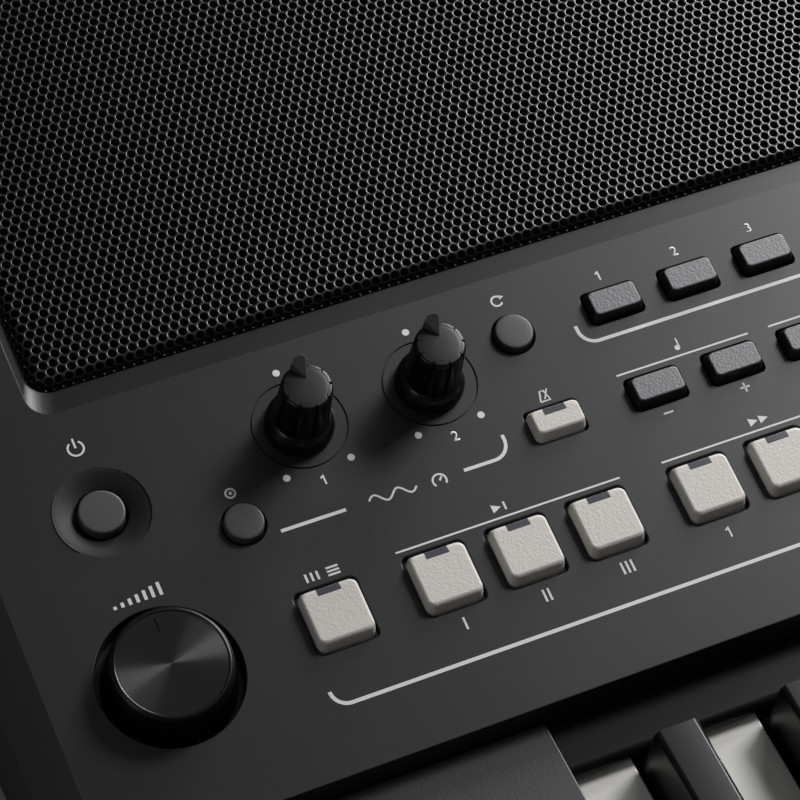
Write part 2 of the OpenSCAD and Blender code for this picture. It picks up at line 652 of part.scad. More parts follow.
module live_knob(i) {
    shoulder = 4.2;
    color("#141415") on_panel(live_at[i]) {
        difference() {
            union() {
                rotate_extrude($fn = 72) polygon([[0, 0.4], [live_skirt_r - 0.3, 0.4], [live_skirt_r, 0.8], [live_skirt_r - 0.15, 2.2],
                    [live_skirt_r - 0.6, 3.3], [live_skirt_r - 1.4, shoulder], [live_top_r + 0.3, live_h - 0.4],
                    [live_top_r - 0.2, live_h], [0, live_h]]);
                translate([0, 0, pot_gap - board_top]) cylinder(h = board_top + 0.5, r = shaft_r, $fn = 48);
                // The pointer: a fin that rises from the middle of the top and leans over its back edge.
                intersection() {
                    along_x(-3, 6) polygon([[0.6, live_h - 1], [live_skirt_r - 1.3, shoulder + 0.4], [live_top_r + 1.6, live_h - 3],
                        [live_top_r + 1.4, live_h + 2.6], [live_top_r + 0.9, live_h + 2.9], [0.6, live_h + 0.02]]);
                    linear_extrude(live_h + 5) polygon([[-0.3, 0], [0.3, 0], [1.7, live_top_r + 0.2], [0.9, live_top_r + 1.8],
                        [-0.9, live_top_r + 1.8], [-1.7, live_top_r + 0.2]]);
                }
            }
            for (k = [1:live_flutes - 1]) rotate(90 + k * 360 / live_flutes) translate([live_top_r + 1.15, 0, shoulder + 0.3])
                cylinder(h = live_h + 3, r = 0.75, $fn = 16);
        }
    }
}

module data_dial() {
    color("#1c1c1d") on_panel([dial_x, dial_y]) difference() {
        union() {
            rotate_extrude($fn = 96) polygon([[0, 0.4], [dial_r, 0.4], [dial_r, 6.5], [dial_r - 0.4, 7.4], [dial_r - 1.6, 8],
                [dial_r - 3, 7.8], [0, 7.2]]);
            translate([0, 0, pot_gap - board_top]) cylinder(h = board_top + 0.5, r = shaft_r, $fn = 48);
        }
        translate([0, dial_r * 0.62, 12.2]) sphere(r = 7, $fn = 48);
    }
}

// ---- Wheels at the left end ----

module wheel(x) {
    translate([x, wheel_y, wheel_z]) difference() {
        union() {
            rotate([0, 90, 0]) rotate_extrude($fn = 96) polygon([[0, -wheel_w / 2], [wheel_r - 1.2, -wheel_w / 2], [wheel_r, 1.2 - wheel_w / 2],
                [wheel_r, wheel_w / 2 - 1.2], [wheel_r - 1.2, wheel_w / 2], [0, wheel_w / 2]]);
            translate([-wheel_w / 2 - axle_stub, 0, 0]) rotate([0, 90, 0]) cylinder(h = wheel_w + 2 * axle_stub, r = axle_r, $fn = 48);
        }
        translate([-wheel_w, 0, wheel_r + 3.2]) rotate([0, 90, 0]) cylinder(h = 2 * wheel_w, r = 6, $fn = 48);
    }
}

module pitch_wheel() {
    color("#4a4a4c") wheel(wheel_x1);
}

module modulation_wheel() {
    color("#4a4a4c") wheel(wheel_x2);
}

module metronome_button() {
    color("#bdb9b4") on_panel(metronome_at) difference() {
        cap(metronome_hole, metronome_top, cap_h, 1.2, 0.6);
        translate([-lamp_w / 2, metronome_top[1] / 2 - lamp_d, cap_h - lamp_drop]) cube([lamp_w, 4, 4]);
    }
}

module round_button(p) {
    color("#3f3f41") on_panel(p) round_cap(round_hole_r - cap_gap, 2);
}

// ---- Keys ----

// Where the tail of white key k of an octave starts and ends, from the octave's left edge.
function group_x(k) = k < 3 ? 0 : 3 * key_pitch;
function tail_w(k) = k < 3 ? (3 * key_pitch - 2 * black_slot) / 3 : (4 * key_pitch - 3 * black_slot) / 4;
function tail_x(k) = group_x(k) + (k < 3 ? k : k - 3) * (tail_w(k) + black_slot);
black_after = [0, 1, 3, 4, 5];
black_front = key_front + head_len + 2;

module white_key(x, k, last = false) {
    g = key_gap / 2;
    tx = last ? 0 : tail_x(k);
    tw = last ? key_pitch : tail_w(k);
    hx = last ? 0 : k * key_pitch;
    translate([x, 0, 0]) difference() {
        union() {
            translate([0, 0, key_z - key_t]) linear_extrude(key_t) polygon([[hx + g, key_front], [hx + key_pitch - g, key_front],
                [hx + key_pitch - g, key_front + head_len], [tx + tw - g, key_front + head_len], [tx + tw - g, key_rear],
                [tx + g, key_rear], [tx + g, key_front + head_len], [hx + g, key_front + head_len]]);
            translate([hx + g, key_front, key_z - lip_h]) cube([key_pitch - 2 * g, 2.4, lip_h - key_t + 1]);
        }
        translate([hx + g + 2, key_front + 2.4, key_z - key_t - 1]) cube([key_pitch - 2 * g - 4, head_len - 6, key_t - 1.5]);
        rod_bore(tx - 1, tw + 2);
    }
}

module black_key(x, k) {
    bx = tail_x(k) + tail_w(k) + black_slot / 2;
    w = black_slot - 2 * key_gap;
    top = key_z + black_rise;
    rear = panel_y - strip_d - 1.4;
    translate([x + bx, 0, 0]) difference() {
      intersection() {
        along_x(-w / 2, w) polygon([[black_front, key_z - key_t], [black_front, key_z], [black_front + 3.6, top - 1.6],
            [black_front + 4.6, top - 0.4], [black_front + 6.4, top], [rear, top], [rear, key_z - 1], [key_rear, key_z - 1],
            [key_rear, key_z - key_t]]);
        translate([0, (black_front + key_rear) / 2, 0]) along_y(key_rear - black_front + 2) polygon([[-w / 2, key_z - key_t - 1],
            [w / 2, key_z - key_t - 1], [w / 2, key_z], [w / 2 - 0.9, top - 1.2], [w / 2 - 1.5, top - 0.3], [w / 2 - 2.1, top],
            [2.1 - w / 2, top], [1.5 - w / 2, top - 0.3], [0.9 - w / 2, top - 1.2], [-w / 2, key_z]]);
      }
      rod_bore(-w, 2 * w);
    }
}

function octave_x(o) = body_l + key_left + 7 * key_pitch * o;

module white_octave(o) {
    for (k = [0:6]) white_key(octave_x(o), k);
}

module black_octave(o) {
    for (k = black_after) black_key(octave_x(o), k);
}

module white_keys(from, to, top_c = false) {
    color("#efeee8") {
        for (o = [from:to]) white_octave(o);
        if (top_c) white_key(octave_x(to + 1), 0, true);
    }
}

module black_keys(from, to) {
    color("#131313") for (o = [from:to]) black_octave(o);
}

bottom_case();
top_case();
left_cheek();
right_cheek();
key_strip();
key_frame();
key_rod();
panel_board();
grille(-1);  // grille_left
grille(1);  // grille_right
speaker(-1);  // speaker_left
speaker(1);  // speaker_right
display_lens();
rear_jacks();
dc_inlet();
feet();
case_screws();
power_button();
volume_knob();
live_knob(0);  // live_knob_1
live_knob(1);  // live_knob_2
round_button(assign_at);  // assign_button
round_button(tap_at);  // tap_button
metronome_button();
lamp(metronome_at, metronome_top);  // metronome_lamp
light_button(accomp_at);  // accomp_button
lamp(accomp_at);  // accomp_lamp
light_button(intro_at[0]);  // intro_button_1
lamp(intro_at[0]);  // intro_lamp_1
light_button(intro_at[1]);  // intro_button_2
lamp(intro_at[1]);  // intro_lamp_2
light_button(intro_at[2]);  // intro_button_3
lamp(intro_at[2]);  // intro_lamp_3
light_button(main_at[0]);  // main_button_1
lamp(main_at[0]);  // main_lamp_1
light_button(main_at[1]);  // main_button_2
lamp(main_at[1]);  // main_lamp_2
for (i = [2:4]) light_button(main_at[i]);  // main_buttons_more
dark_button(tempo_at[0]);  // tempo_minus
dark_button(tempo_at[1]);  // tempo_plus
dark_button(tempo_at[2]);  // transpose_minus
dark_button(tempo_at[3]);  // transpose_plus
dark_button(style_at[0]);  // style_button_1
dark_button(style_at[1]);  // style_button_2
dark_button(style_at[2]);  // style_button_3
for (i = [3:8]) dark_button(style_at[i]);  // style_buttons_more
for (p = transport_at) light_button(p);  // transport_buttons
for (p = display_at) dark_button(p);  // display_buttons
for (p = voice_at) dark_button(p);  // voice_buttons
for (p = memory_at) light_button(p);  // memory_buttons
data_dial();
pitch_wheel();
modulation_wheel();
white_keys(0, 1);  // white_keys_low
black_keys(0, 1);  // black_keys_low
white_keys(2, 2);  // white_keys_mid
black_keys(2, 2);  // black_keys_mid
white_keys(3, 4, true);  // white_keys_high
black_keys(3, 4);  // black_keys_high
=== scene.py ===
import math

import bmesh
import bpy
import numpy as np
from mathutils import Matrix, Vector


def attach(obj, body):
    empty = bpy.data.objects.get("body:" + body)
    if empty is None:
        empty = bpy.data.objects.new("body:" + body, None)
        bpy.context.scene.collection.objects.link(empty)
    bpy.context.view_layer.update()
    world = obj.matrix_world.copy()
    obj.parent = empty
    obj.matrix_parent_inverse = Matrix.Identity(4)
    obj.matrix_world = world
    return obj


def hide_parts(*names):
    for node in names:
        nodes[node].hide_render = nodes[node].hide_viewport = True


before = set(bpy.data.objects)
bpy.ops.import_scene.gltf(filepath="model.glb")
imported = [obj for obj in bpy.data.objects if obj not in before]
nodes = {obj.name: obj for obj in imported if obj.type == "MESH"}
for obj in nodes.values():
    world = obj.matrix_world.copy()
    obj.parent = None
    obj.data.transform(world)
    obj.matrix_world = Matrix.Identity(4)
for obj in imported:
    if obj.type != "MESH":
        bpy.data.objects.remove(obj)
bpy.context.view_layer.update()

# Sizes in millimetres, as in the part's source.
mm = 0.001
LEFT_X, PANEL_Y, REAR_Y = -502.0, -50.0, 205.0
FRONT_Z, TOP_Z, REAR_R, SPLIT_Z, WALL = 90.0, 134.0, 9.0, 40.0, 3.0
RUN, RISE = REAR_Y - PANEL_Y - REAR_R, TOP_Z - REAR_R - FRONT_Z
TILT = math.atan(RISE / RUN) + math.asin(REAR_R / math.hypot(RUN, RISE))
TO_PANEL = (Matrix.Translation((LEFT_X * mm, PANEL_Y * mm, FRONT_Z * mm))
            @ Matrix.Rotation(TILT, 4, "X"))

# Places on the panel, from its front left corner: across it and up its slope.
PITCH, ROW_A, ROW_B, ROW_C = 18.0, 31.9, 56.5, 78.1
MAIN_X, INTRO_X, RIGHT_X = 142.8, 83.6, 736.0
INTRO = [(INTRO_X + i * PITCH, ROW_A) for i in range(3)]
MAIN = [(MAIN_X + i * PITCH, ROW_A) for i in range(5)]
TRANSPORT = [(MAIN_X + (5.6 + i) * PITCH, ROW_A) for i in range(6)]
STYLE = [(MAIN_X + i * PITCH, ROW_C) for i in range(9)]
TEMPO = [(MAIN_X + i * PITCH, ROW_B) for i in range(4)]
METRONOME, TAP, ASSIGN, ACCOMP = (119.6, ROW_B), (119.6, ROW_C), (50.4, ROW_B), (60.2, ROW_A)
VOLUME, POWER = (24.9, 31.1), (24.9, 68.6)
LIVE = [(69.4, 73.5), (98.45, 73.5)]
DISPLAY = [(502 + s * 82, 134 + j * 20) for s in (-1, 1) for j in range(4)]
VOICE = [(RIGHT_X + i * PITCH, r) for r in (ROW_B, ROW_C) for i in range(10)]
MEMORY = [(RIGHT_X + i * PITCH, ROW_A) for i in range(10)]
DIAL, SCREEN = (632.0, 58.0), (502.0, 164.0)
GRILLES = {"left": (168.1, 162.5), "right": (835.9, 162.5)}

# The caps: width and depth of their holes and of their tops, and heights over the panel.
LIGHT_HOLE, DARK_HOLE, WIDE_HOLE = (13.7, 14.2), (12.6, 7.9), (12.3, 7.9)
LIGHT_TOP, DARK_TOP, WIDE_TOP = (12.0, 11.2), (10.7, 5.4), (10.6, 5.1)
CAP_H, FLANGE_LOW, FLANGE_HIGH = 2.4, -4.4, -3.2
# Heights between which the tools for openings reach.
OPEN_LOW, OPEN_HIGH = -8, 4
# The knobs' shafts, and the dish of the power button.
SHAFT_R, SHAFT_LOW = 3, -11.2
POWER_HOLE_R, BOWL_R, BOWL_DEPTH = 5.5, 9.85, 1.6


# ---- Working by hand: selecting, shaping and finishing ----

def clear():
    if bpy.context.mode != "OBJECT":
        bpy.ops.object.mode_set(mode="OBJECT")
    bpy.ops.object.select_all(action="DESELECT")


def take(piece):
    clear()
    piece.select_set(True)
    bpy.context.view_layer.objects.active = piece


def edit(piece, kind="FACE", whole=False):
    take(piece)
    bpy.ops.object.mode_set(mode="EDIT")
    bpy.ops.mesh.select_mode(type=kind)
    bpy.ops.mesh.select_all(action="SELECT" if whole else "DESELECT")


def done(piece):
    bpy.ops.object.mode_set(mode="OBJECT")
    return piece


def pick_faces(piece, test):
    """Selects the faces whose middle (in mm) and normal pass the test."""
    mesh = bmesh.from_edit_mesh(piece.data)
    for face in mesh.faces:
        if test(face.calc_center_median() / mm, face.normal):
            face.select_set(True)
    bmesh.update_edit_mesh(piece.data)


def pick_edges(piece, test):
    mesh = bmesh.from_edit_mesh(piece.data)
    for edge in mesh.edges:
        if test(edge.verts[0].co / mm, edge.verts[1].co / mm):
            edge.select_set(True)
    bmesh.update_edit_mesh(piece.data)


def move_points(piece, rule):
    """Moves each point of the mesh to where the rule (in mm) puts it."""
    for v in piece.data.vertices:
        v.co = rule(v.co / mm) * mm
    piece.data.update()


def named(name):
    piece = bpy.context.object
    piece.name = piece.data.name = name
    return piece


def disc(name, r, z, steps):
    """A flat disc, left in edit mode with its face selected."""
    clear()
    bpy.ops.mesh.primitive_circle_add(vertices=steps, radius=r * mm, fill_type="NGON",
                                      location=(0, 0, 0))
    piece = named(name)
    edit(piece, whole=True)
    bpy.ops.transform.translate(value=(0, 0, z * mm))
    return piece


def plate(name, w, d, z, r, steps):
    """A flat rounded rectangle, left in edit mode with its face selected."""
    clear()
    bpy.ops.mesh.primitive_plane_add(size=1, location=(0, 0, 0))
    piece = named(name)
    edit(piece, "VERT", whole=True)
    bpy.ops.transform.resize(value=(w * mm, d * mm, 1), center_override=(0, 0, 0))
    bpy.ops.mesh.bevel(offset=r * mm, segments=steps, affect="VERTICES")
    bpy.ops.mesh.select_mode(type="FACE")
    bpy.ops.mesh.select_all(action="SELECT")
    bpy.ops.transform.translate(value=(0, 0, z * mm))
    return piece


def draw_up(piece, sizes, shift=(0.0, 0.0)):
    """Extrudes the selected face through (width, depth, height); it has the first of them."""
    w0, d0, z0 = sizes[0]
    for w, d, z in sizes[1:]:
        bpy.ops.mesh.extrude_region_move(TRANSFORM_OT_translate={"value": (0, 0, (z - z0) * mm)})
        bpy.ops.transform.resize(value=(w / w0, d / d0, 1), center_override=(0, 0, 0))
        w0, d0, z0 = w, d, z
    if shift != (0.0, 0.0):
        bpy.ops.transform.translate(value=(shift[0] * mm, shift[1] * mm, 0))
    return piece


def outward(piece):
    edit(piece, whole=True)
    bpy.ops.mesh.normals_make_consistent(inside=False)
    return done(piece)


def turned(name, rings, steps):
    """A turned piece from (radius, height) rings, closed at both ends."""
    r0, z0 = rings[0]
    piece = disc(name, r0, z0, steps)
    draw_up(piece, [(r, r, z) for r, z in rings])
    return outward(piece)


def rod(name, r, low, high, steps):
    return turned(name, [(r, low), (r, high)], steps)


def slab(name, size, low, high, r, steps):
    """A flat block with rounded corners, between two heights."""
    return outward(draw_up(plate(name, *size, low, r, steps), [(*size, low), (*size, high)]))


def block(name, low, high):
    clear()
    size = [h - l for l, h in zip(low, high)]
    middle = [(h + l) / 2 * mm for l, h in zip(low, high)]
    bpy.ops.mesh.primitive_cube_add(size=1, location=(0, 0, 0))
    piece = named(name)
    edit(piece, whole=True)
    bpy.ops.transform.resize(value=[s * mm for s in size], center_override=(0, 0, 0))
    bpy.ops.transform.translate(value=middle)
    return done(piece)


def modify(piece, kind, **values):
    take(piece)
    made = piece.modifiers.new(kind.lower(), kind)
    for key, value in values.items():
        setattr(made, key, value)
    bpy.ops.object.modifier_apply(modifier=made.name)
    return piece


def cut(piece, tool, how="DIFFERENCE"):
    modify(piece, "BOOLEAN", object=tool, operation=how, solver="EXACT")
    bpy.data.objects.remove(tool, do_unlink=True)
    return piece


def ease(piece, width, steps, angle):
    """Rounds the sharp edges a little, as a mould does."""
    return modify(piece, "BEVEL", width=width * mm, segments=steps, limit_method="ANGLE",
                  angle_limit=math.radians(angle), use_clamp_overlap=False)


def smooth(piece, angle, weighted=True):
    take(piece)
    bpy.ops.object.shade_smooth_by_angle(angle=math.radians(angle))
    if weighted:
        modify(piece, "WEIGHTED_NORMAL", weight=80, keep_sharp=True)
    return piece


def joined(name, pieces):
    clear()
    for piece in pieces:
        piece.select_set(True)
    bpy.context.view_layer.objects.active = pieces[0]
    if len(pieces) > 1:
        bpy.ops.object.join()
    return named(name)


def put(piece, matrix):
    piece.data.transform(matrix)
    piece.data.update()
    return piece


def spot(x, y, w=0.0):
    """The matrix that takes a piece to a place on the panel, a height over it."""
    return TO_PANEL @ Matrix.Translation((x * mm, y * mm, w * mm))


def twin(master, name, matrix):
    copy = bpy.data.objects.new(name, master.data.copy())
    bpy.context.scene.collection.objects.link(copy)
    return put(copy, matrix)


def row_of(master, name, places):
    return joined(name, [twin(master, name, spot(x, y)) for x, y in places])


def drop(*pieces):
    for piece in pieces:
        bpy.data.objects.remove(piece, do_unlink=True)


def paint(piece, *finishes):
    piece.data.materials.clear()
    for f in finishes:
        piece.data.materials.append(f)
    return piece


def stand(piece, body, *replaced):
    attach(piece, body)
    if replaced:
        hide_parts(*replaced)
    return piece


# ---- Finishes ----

def effect(name, inputs, outputs):
    tree = bpy.data.node_groups.new(name, "ShaderNodeTree")
    for label, value in inputs:
        socket = tree.interface.new_socket(label, in_out="INPUT", socket_type="NodeSocketFloat")
        socket.default_value = value
    for label, kind in outputs:
        tree.interface.new_socket(label, in_out="OUTPUT", socket_type=kind)
    return tree, tree.nodes.new("NodeGroupInput"), tree.nodes.new("NodeGroupOutput")


def math_node(tree, how, a, b, c=None):
    node = tree.nodes.new("ShaderNodeMath")
    node.operation = how
    for socket, value in zip(node.inputs, (a, b, c)):
        if value is None:
            continue
        if isinstance(value, (int, float)):
            socket.default_value = value
        else:
            tree.links.new(value, socket)
    return node.outputs[0]


def make_grain():
    """Spark-eroded mould grain: a height, and a slow unevenness of tone."""
    tree, inp, out = effect("mould_grain", [("Size", 0.25), ("Unevenness", 0.05)],
                            [("Height", "NodeSocketFloat"), ("Tone", "NodeSocketFloat"),
                             ("Fleck", "NodeSocketFloat")])
    place = tree.nodes.new("ShaderNodeTexCoord").outputs["Object"]
    scale = math_node(tree, "DIVIDE", 1000.0, inp.outputs["Size"])
    cells = tree.nodes.new("ShaderNodeTexVoronoi")
    cells.feature = "SMOOTH_F1"
    cells.inputs["Smoothness"].default_value = 0.6
    fine = tree.nodes.new("ShaderNodeTexNoise")
    fine.inputs["Detail"].default_value = 2.0
    slow = tree.nodes.new("ShaderNodeTexNoise")
    slow.inputs["Scale"].default_value = 14.0
    slow.inputs["Detail"].default_value = 3.0
    for node in (cells, fine, slow):
        tree.links.new(place, node.inputs["Vector"])
    tree.links.new(scale, cells.inputs["Scale"])
    tree.links.new(math_node(tree, "MULTIPLY", scale, 0.6), fine.inputs["Scale"])
    height = math_node(tree, "MULTIPLY_ADD", cells.outputs["Distance"], 0.6, fine.outputs["Fac"])
    tree.links.new(height, out.inputs["Height"])
    tone = math_node(tree, "MULTIPLY_ADD", math_node(tree, "SUBTRACT", slow.outputs["Fac"], 0.5),
                     inp.outputs["Unevenness"], 1.0)
    tree.links.new(tone, out.inputs["Tone"])
    tree.links.new(fine.outputs["Fac"], out.inputs["Fleck"])
    return tree


def make_film():
    """A light film that gathers in patches: a mask from 0 to 1."""
    tree, inp, out = effect("handling_film", [("Amount", 0.3)], [("Mask", "NodeSocketFloat")])
    place = tree.nodes.new("ShaderNodeTexCoord").outputs["Object"]
    patch = tree.nodes.new("ShaderNodeTexNoise")
    patch.inputs["Scale"].default_value = 38.0
    patch.inputs["Detail"].default_value = 5.0
    tree.links.new(place, patch.inputs["Vector"])
    over = math_node(tree, "SUBTRACT", patch.outputs["Fac"], 0.45)
    lifted = math_node(tree, "MULTIPLY", over, 3.0)
    lifted.node.use_clamp = True
    tree.links.new(math_node(tree, "MULTIPLY", lifted, inp.outputs["Amount"]), out.inputs["Mask"])
    return tree


GRAIN, FILM = make_grain(), make_film()


def material(name):
    made = bpy.data.materials.new(name)
    made.use_nodes = True
    tree = made.node_tree
    return made, tree, tree.nodes["Principled BSDF"]


def use(tree, group, **values):
    node = tree.nodes.new("ShaderNodeGroup")
    node.node_tree = group
    for key, value in values.items():
        node.inputs[key].default_value = value
    return node


def toned(tree, colour, factor):
    """A colour whose brightness follows a factor."""
    node = tree.nodes.new("ShaderNodeMix")
    node.data_type, node.blend_type = "RGBA", "MULTIPLY"
    node.inputs["Factor"].default_value = 1.0
    node.inputs["A"].default_value = (*colour, 1)
    tree.links.new(factor, node.inputs["B"])
    return node.outputs["Result"]


def moulded(name, colour, rough, grain, relief, uneven=0.06, film=0.2, specular=0.5, coat=0.0):
    """Moulded plastic: base tone, grain in the surface, and a film that dulls it in patches."""
    made, tree, bsdf = material(name)
    g = use(tree, GRAIN, Size=grain, Unevenness=uneven)
    f = use(tree, FILM, Amount=film)
    fleck = math_node(tree, "SUBTRACT", g.outputs["Fleck"], 0.5)
    speck = math_node(tree, "MULTIPLY_ADD", fleck, uneven * 2, g.outputs["Tone"])
    tree.links.new(toned(tree, colour, speck), bsdf.inputs["Base Color"])
    dulled = math_node(tree, "MULTIPLY_ADD", f.outputs["Mask"], 0.12, rough)
    tree.links.new(dulled, bsdf.inputs["Roughness"])
    bump = tree.nodes.new("ShaderNodeBump")
    bump.inputs["Strength"].default_value = 1.0
    bump.inputs["Distance"].default_value = relief * mm
    tree.links.new(g.outputs["Height"], bump.inputs["Height"])
    tree.links.new(bump.outputs["Normal"], bsdf.inputs["Normal"])
    bsdf.inputs["Specular IOR Level"].default_value = specular
    bsdf.inputs["Coat Weight"].default_value = coat
    bsdf.inputs["Coat Roughness"].default_value = 0.15
    return made


def linear(hexa):
    values = [int(hexa[i:i + 2], 16) / 255 for i in (0, 2, 4)]
    return tuple(v / 12.92 if v <= 0.04045 else ((v + 0.055) / 1.055) ** 2.4 for v in values)


panel_plastic = moulded("panel_plastic", linear("171718"), 0.39,
                        grain=0.22, relief=0.006, uneven=0.05, specular=0.55)
dish_plastic = moulded("dish_plastic", linear("161617"), 0.58,
                       grain=0.22, relief=0.006, uneven=0.05, specular=0.35)
lower_plastic = moulded("lower_plastic", linear("1d1d1e"), 0.50, grain=0.45, relief=0.03)
end_plastic = moulded("end_plastic", linear("303033"), 0.42, grain=0.40, relief=0.02)
light_cap = moulded("light_cap_plastic", linear("d4d0ca"), 0.50,
                    grain=0.46, relief=0.055, uneven=0.05, film=0.1)
# Dark caps: the grey of the flat top is the caps' own colour, but the split follows which way the
# faces look: the near black of the flanks is painted shade, and the grey carried over the rounded
# top edge is painted highlight.
dark_cap = moulded("dark_cap_plastic", linear("5b5b5e"), 0.46,
                   grain=0.36, relief=0.055, uneven=0.16, specular=0.9)
shaded_cap_side = moulded("dark_cap_painted_shade_side", linear("1b1b1d"), 0.42, grain=0.6, relief=0.003)
round_cap = moulded("round_cap_plastic", linear("454547"), 0.45, grain=0.25, relief=0.008)
lamp_window = moulded("lamp_window", linear("484852"), 0.30, grain=0.6, relief=0.004, coat=0.3)
knob_gloss = moulded("knob_gloss", linear("060607"), 0.30, grain=0.8, relief=0.002, specular=0.4)
knob_top = moulded("knob_top", linear("141417"), 0.36, grain=0.3, relief=0.004, specular=0.6)
# The pointer is a lighter grey than the knob's top plastic: painted light on its faces, which lean
# away from the lamps.
lit_pointer_plastic = moulded("lit_pointer_plastic", linear("4a4a50"), 0.27,
                          grain=0.3, relief=0.003, specular=0.8)
strip_satin = moulded("strip_satin", linear("0a0a0b"), 0.38, grain=1.5, relief=0.002, specular=0.2)
frame_plastic = moulded("frame_plastic", linear("8f8f8a"), 0.6, grain=0.5, relief=0.02)
socket_plastic = moulded("socket_plastic", linear("161617"), 0.45, grain=0.35, relief=0.012)
rubber = moulded("foot_rubber", linear("141414"), 0.8, grain=0.5, relief=0.05, film=0.5)
wheel_plastic = moulded("wheel_plastic", linear("424245"), 0.5, grain=0.3, relief=0.02)
white_key = moulded("white_key_plastic", linear("ecebe6"), 0.22,
                    grain=1.2, relief=0.003, uneven=0.02, coat=0.3)
black_key = moulded("black_key_plastic", linear("121213"), 0.32, grain=0.3, relief=0.008)
cone_card = moulded("speaker_card", linear("1b1b1d"), 0.75, grain=0.6, relief=0.06)
# The cloth behind the grilles is near black: painted shade for the dark space seen through the
# holes.
cloth_painted_shade = moulded("cloth_near_black_shade", linear("050505"), 0.95,
                      grain=0.8, relief=0.1, specular=0.05)
glass = moulded("display_glass", linear("060709"), 0.06,
                grain=2.0, relief=0.0005, film=0.05, coat=0.5)
screen_film = moulded("display_film", linear("151a20"), 0.12, grain=2.0, relief=0.0005, film=0.05)
ink = moulded("printing_ink", linear("dedede"), 0.55, grain=0.15, relief=0.003, uneven=0.08)


def make_grille_paint():
    made, tree, bsdf = material("grille_paint")
    g = use(tree, GRAIN, Size=0.5, Unevenness=0.15)
    tree.links.new(toned(tree, linear("0d0d0e"), g.outputs["Tone"]), bsdf.inputs["Base Color"])
    rough = math_node(tree, "MULTIPLY_ADD", g.outputs["Fleck"], 0.08, 0.28)
    tree.links.new(rough, bsdf.inputs["Roughness"])
    bsdf.inputs["Specular IOR Level"].default_value = 0.75
    return made


def make_steel(name, colour, rough):
    made, tree, bsdf = material(name)
    g = use(tree, GRAIN, Size=0.3, Unevenness=0.1)
    tree.links.new(toned(tree, colour, g.outputs["Tone"]), bsdf.inputs["Base Color"])
    flecked = math_node(tree, "MULTIPLY_ADD", g.outputs["Fleck"], 0.15, rough)
    tree.links.new(flecked, bsdf.inputs["Roughness"])
    bsdf.inputs["Metallic"].default_value = 1.0
    return made


def make_board():
    made, tree, bsdf = material("switch_board")
    place = tree.nodes.new("ShaderNodeTexCoord").outputs["Object"]
    tracks = tree.nodes.new("ShaderNodeTexBrick")
    tracks.inputs["Scale"].default_value = 90.0
    tracks.inputs["Color1"].default_value = (*linear("24502f"), 1)
    tracks.inputs["Color2"].default_value = (*linear("2c5f39"), 1)
    tracks.inputs["Mortar"].default_value = (*linear("3c7a4b"), 1)
    tree.links.new(place, tracks.inputs["Vector"])
    tree.links.new(tracks.outputs["Color"], bsdf.inputs["Base Color"])
    bsdf.inputs["Roughness"].default_value = 0.35
    return made


def make_brushed(centre):
    """Black top with circular brushing about the knob's middle."""
    made, tree, bsdf = material("volume_brushed")
    place = tree.nodes.new("ShaderNodeTexCoord").outputs["Object"]
    arm = tree.nodes.new("ShaderNodeVectorMath")
    arm.operation = "SUBTRACT"
    arm.inputs[1].default_value = centre
    tree.links.new(place, arm.inputs[0])
    reach = tree.nodes.new("ShaderNodeVectorMath")
    reach.operation = "LENGTH"
    tree.links.new(arm.outputs[0], reach.inputs[0])
    rings = tree.nodes.new("ShaderNodeTexNoise")
    rings.noise_dimensions = "1D"
    rings.inputs["Scale"].default_value = 5200.0
    rings.inputs["Detail"].default_value = 2.0
    tree.links.new(reach.outputs["Value"], rings.inputs["W"])
    tone = math_node(tree, "MULTIPLY_ADD", rings.outputs["Fac"], 0.5, 0.75)
    tree.links.new(toned(tree, linear("070708"), tone), bsdf.inputs["Base Color"])
    rough = math_node(tree, "MULTIPLY_ADD", rings.outputs["Fac"], 0.05, 0.20)
    tree.links.new(rough, bsdf.inputs["Roughness"])
    tree.links.new(arm.outputs[0], bsdf.inputs["Tangent"])
    bsdf.inputs["Anisotropic"].default_value = 0.95
    bsdf.inputs["Specular IOR Level"].default_value = 1.0
    return made


grille_paint = make_grille_paint()
screw_steel = make_steel("screw_steel", linear("9a9a9c"), 0.35)
socket_ring = make_steel("socket_ring_nickel", linear("b4b2ae"), 0.22)
board_lacquer = make_board()
volume_brushed = make_brushed(spot(*VOLUME, 6.6).translation)


# ---- The moulded top case ----

def case_shell():
    """The wedge of the case, open below, with a rounded edge at the top of its back."""
    top = FRONT_Z + (REAR_Y - PANEL_Y) * math.tan(TILT)
    case = block("upper_case", (LEFT_X, PANEL_Y, SPLIT_Z), (-LEFT_X, REAR_Y, top))
    edit(case, "EDGE")
    pick_edges(case, lambda a, b: min(a.z, b.z) > SPLIT_Z + 1 and max(a.y, b.y) < PANEL_Y + 1)
    bpy.ops.transform.translate(value=(0, 0, (FRONT_Z - top) * mm))
    bpy.ops.mesh.select_all(action="DESELECT")
    pick_edges(case, lambda a, b: min(a.z, b.z) > FRONT_Z + 10 and min(a.y, b.y) > REAR_Y - 1)
    # The two percent keep the rounded edge just inside the height of the source.
    reach = 1.02 * REAR_R / math.tan((math.pi / 2 - TILT) / 2)
    bpy.ops.mesh.bevel(offset=reach * mm, segments=10, affect="EDGES")
    bpy.ops.mesh.select_all(action="DESELECT")
    bpy.ops.mesh.select_mode(type="FACE")
    pick_faces(case, lambda c, n: n.z < -0.9)
    bpy.ops.mesh.delete(type="FACE")
    done(case)
    return modify(case, "SOLIDIFY", thickness=WALL * mm, offset=-1, use_even_offset=True)


def hanging_tubs():
    """Below the panel: tubs for the grilles, the well of the volume knob and the power dish."""
    under = [put(slab("tub", (298.4, 132.4), -11.2, -1, 7.2, 6), spot(x, y))
             for x, y in GRILLES.values()]
    under.append(put(rod("well", 17.75, -8.5, -1, 96), spot(*VOLUME)))
    under.append(put(rod("dish", 10.85, -5.6, -1, 96), spot(*POWER)))
    return joined("under", under)


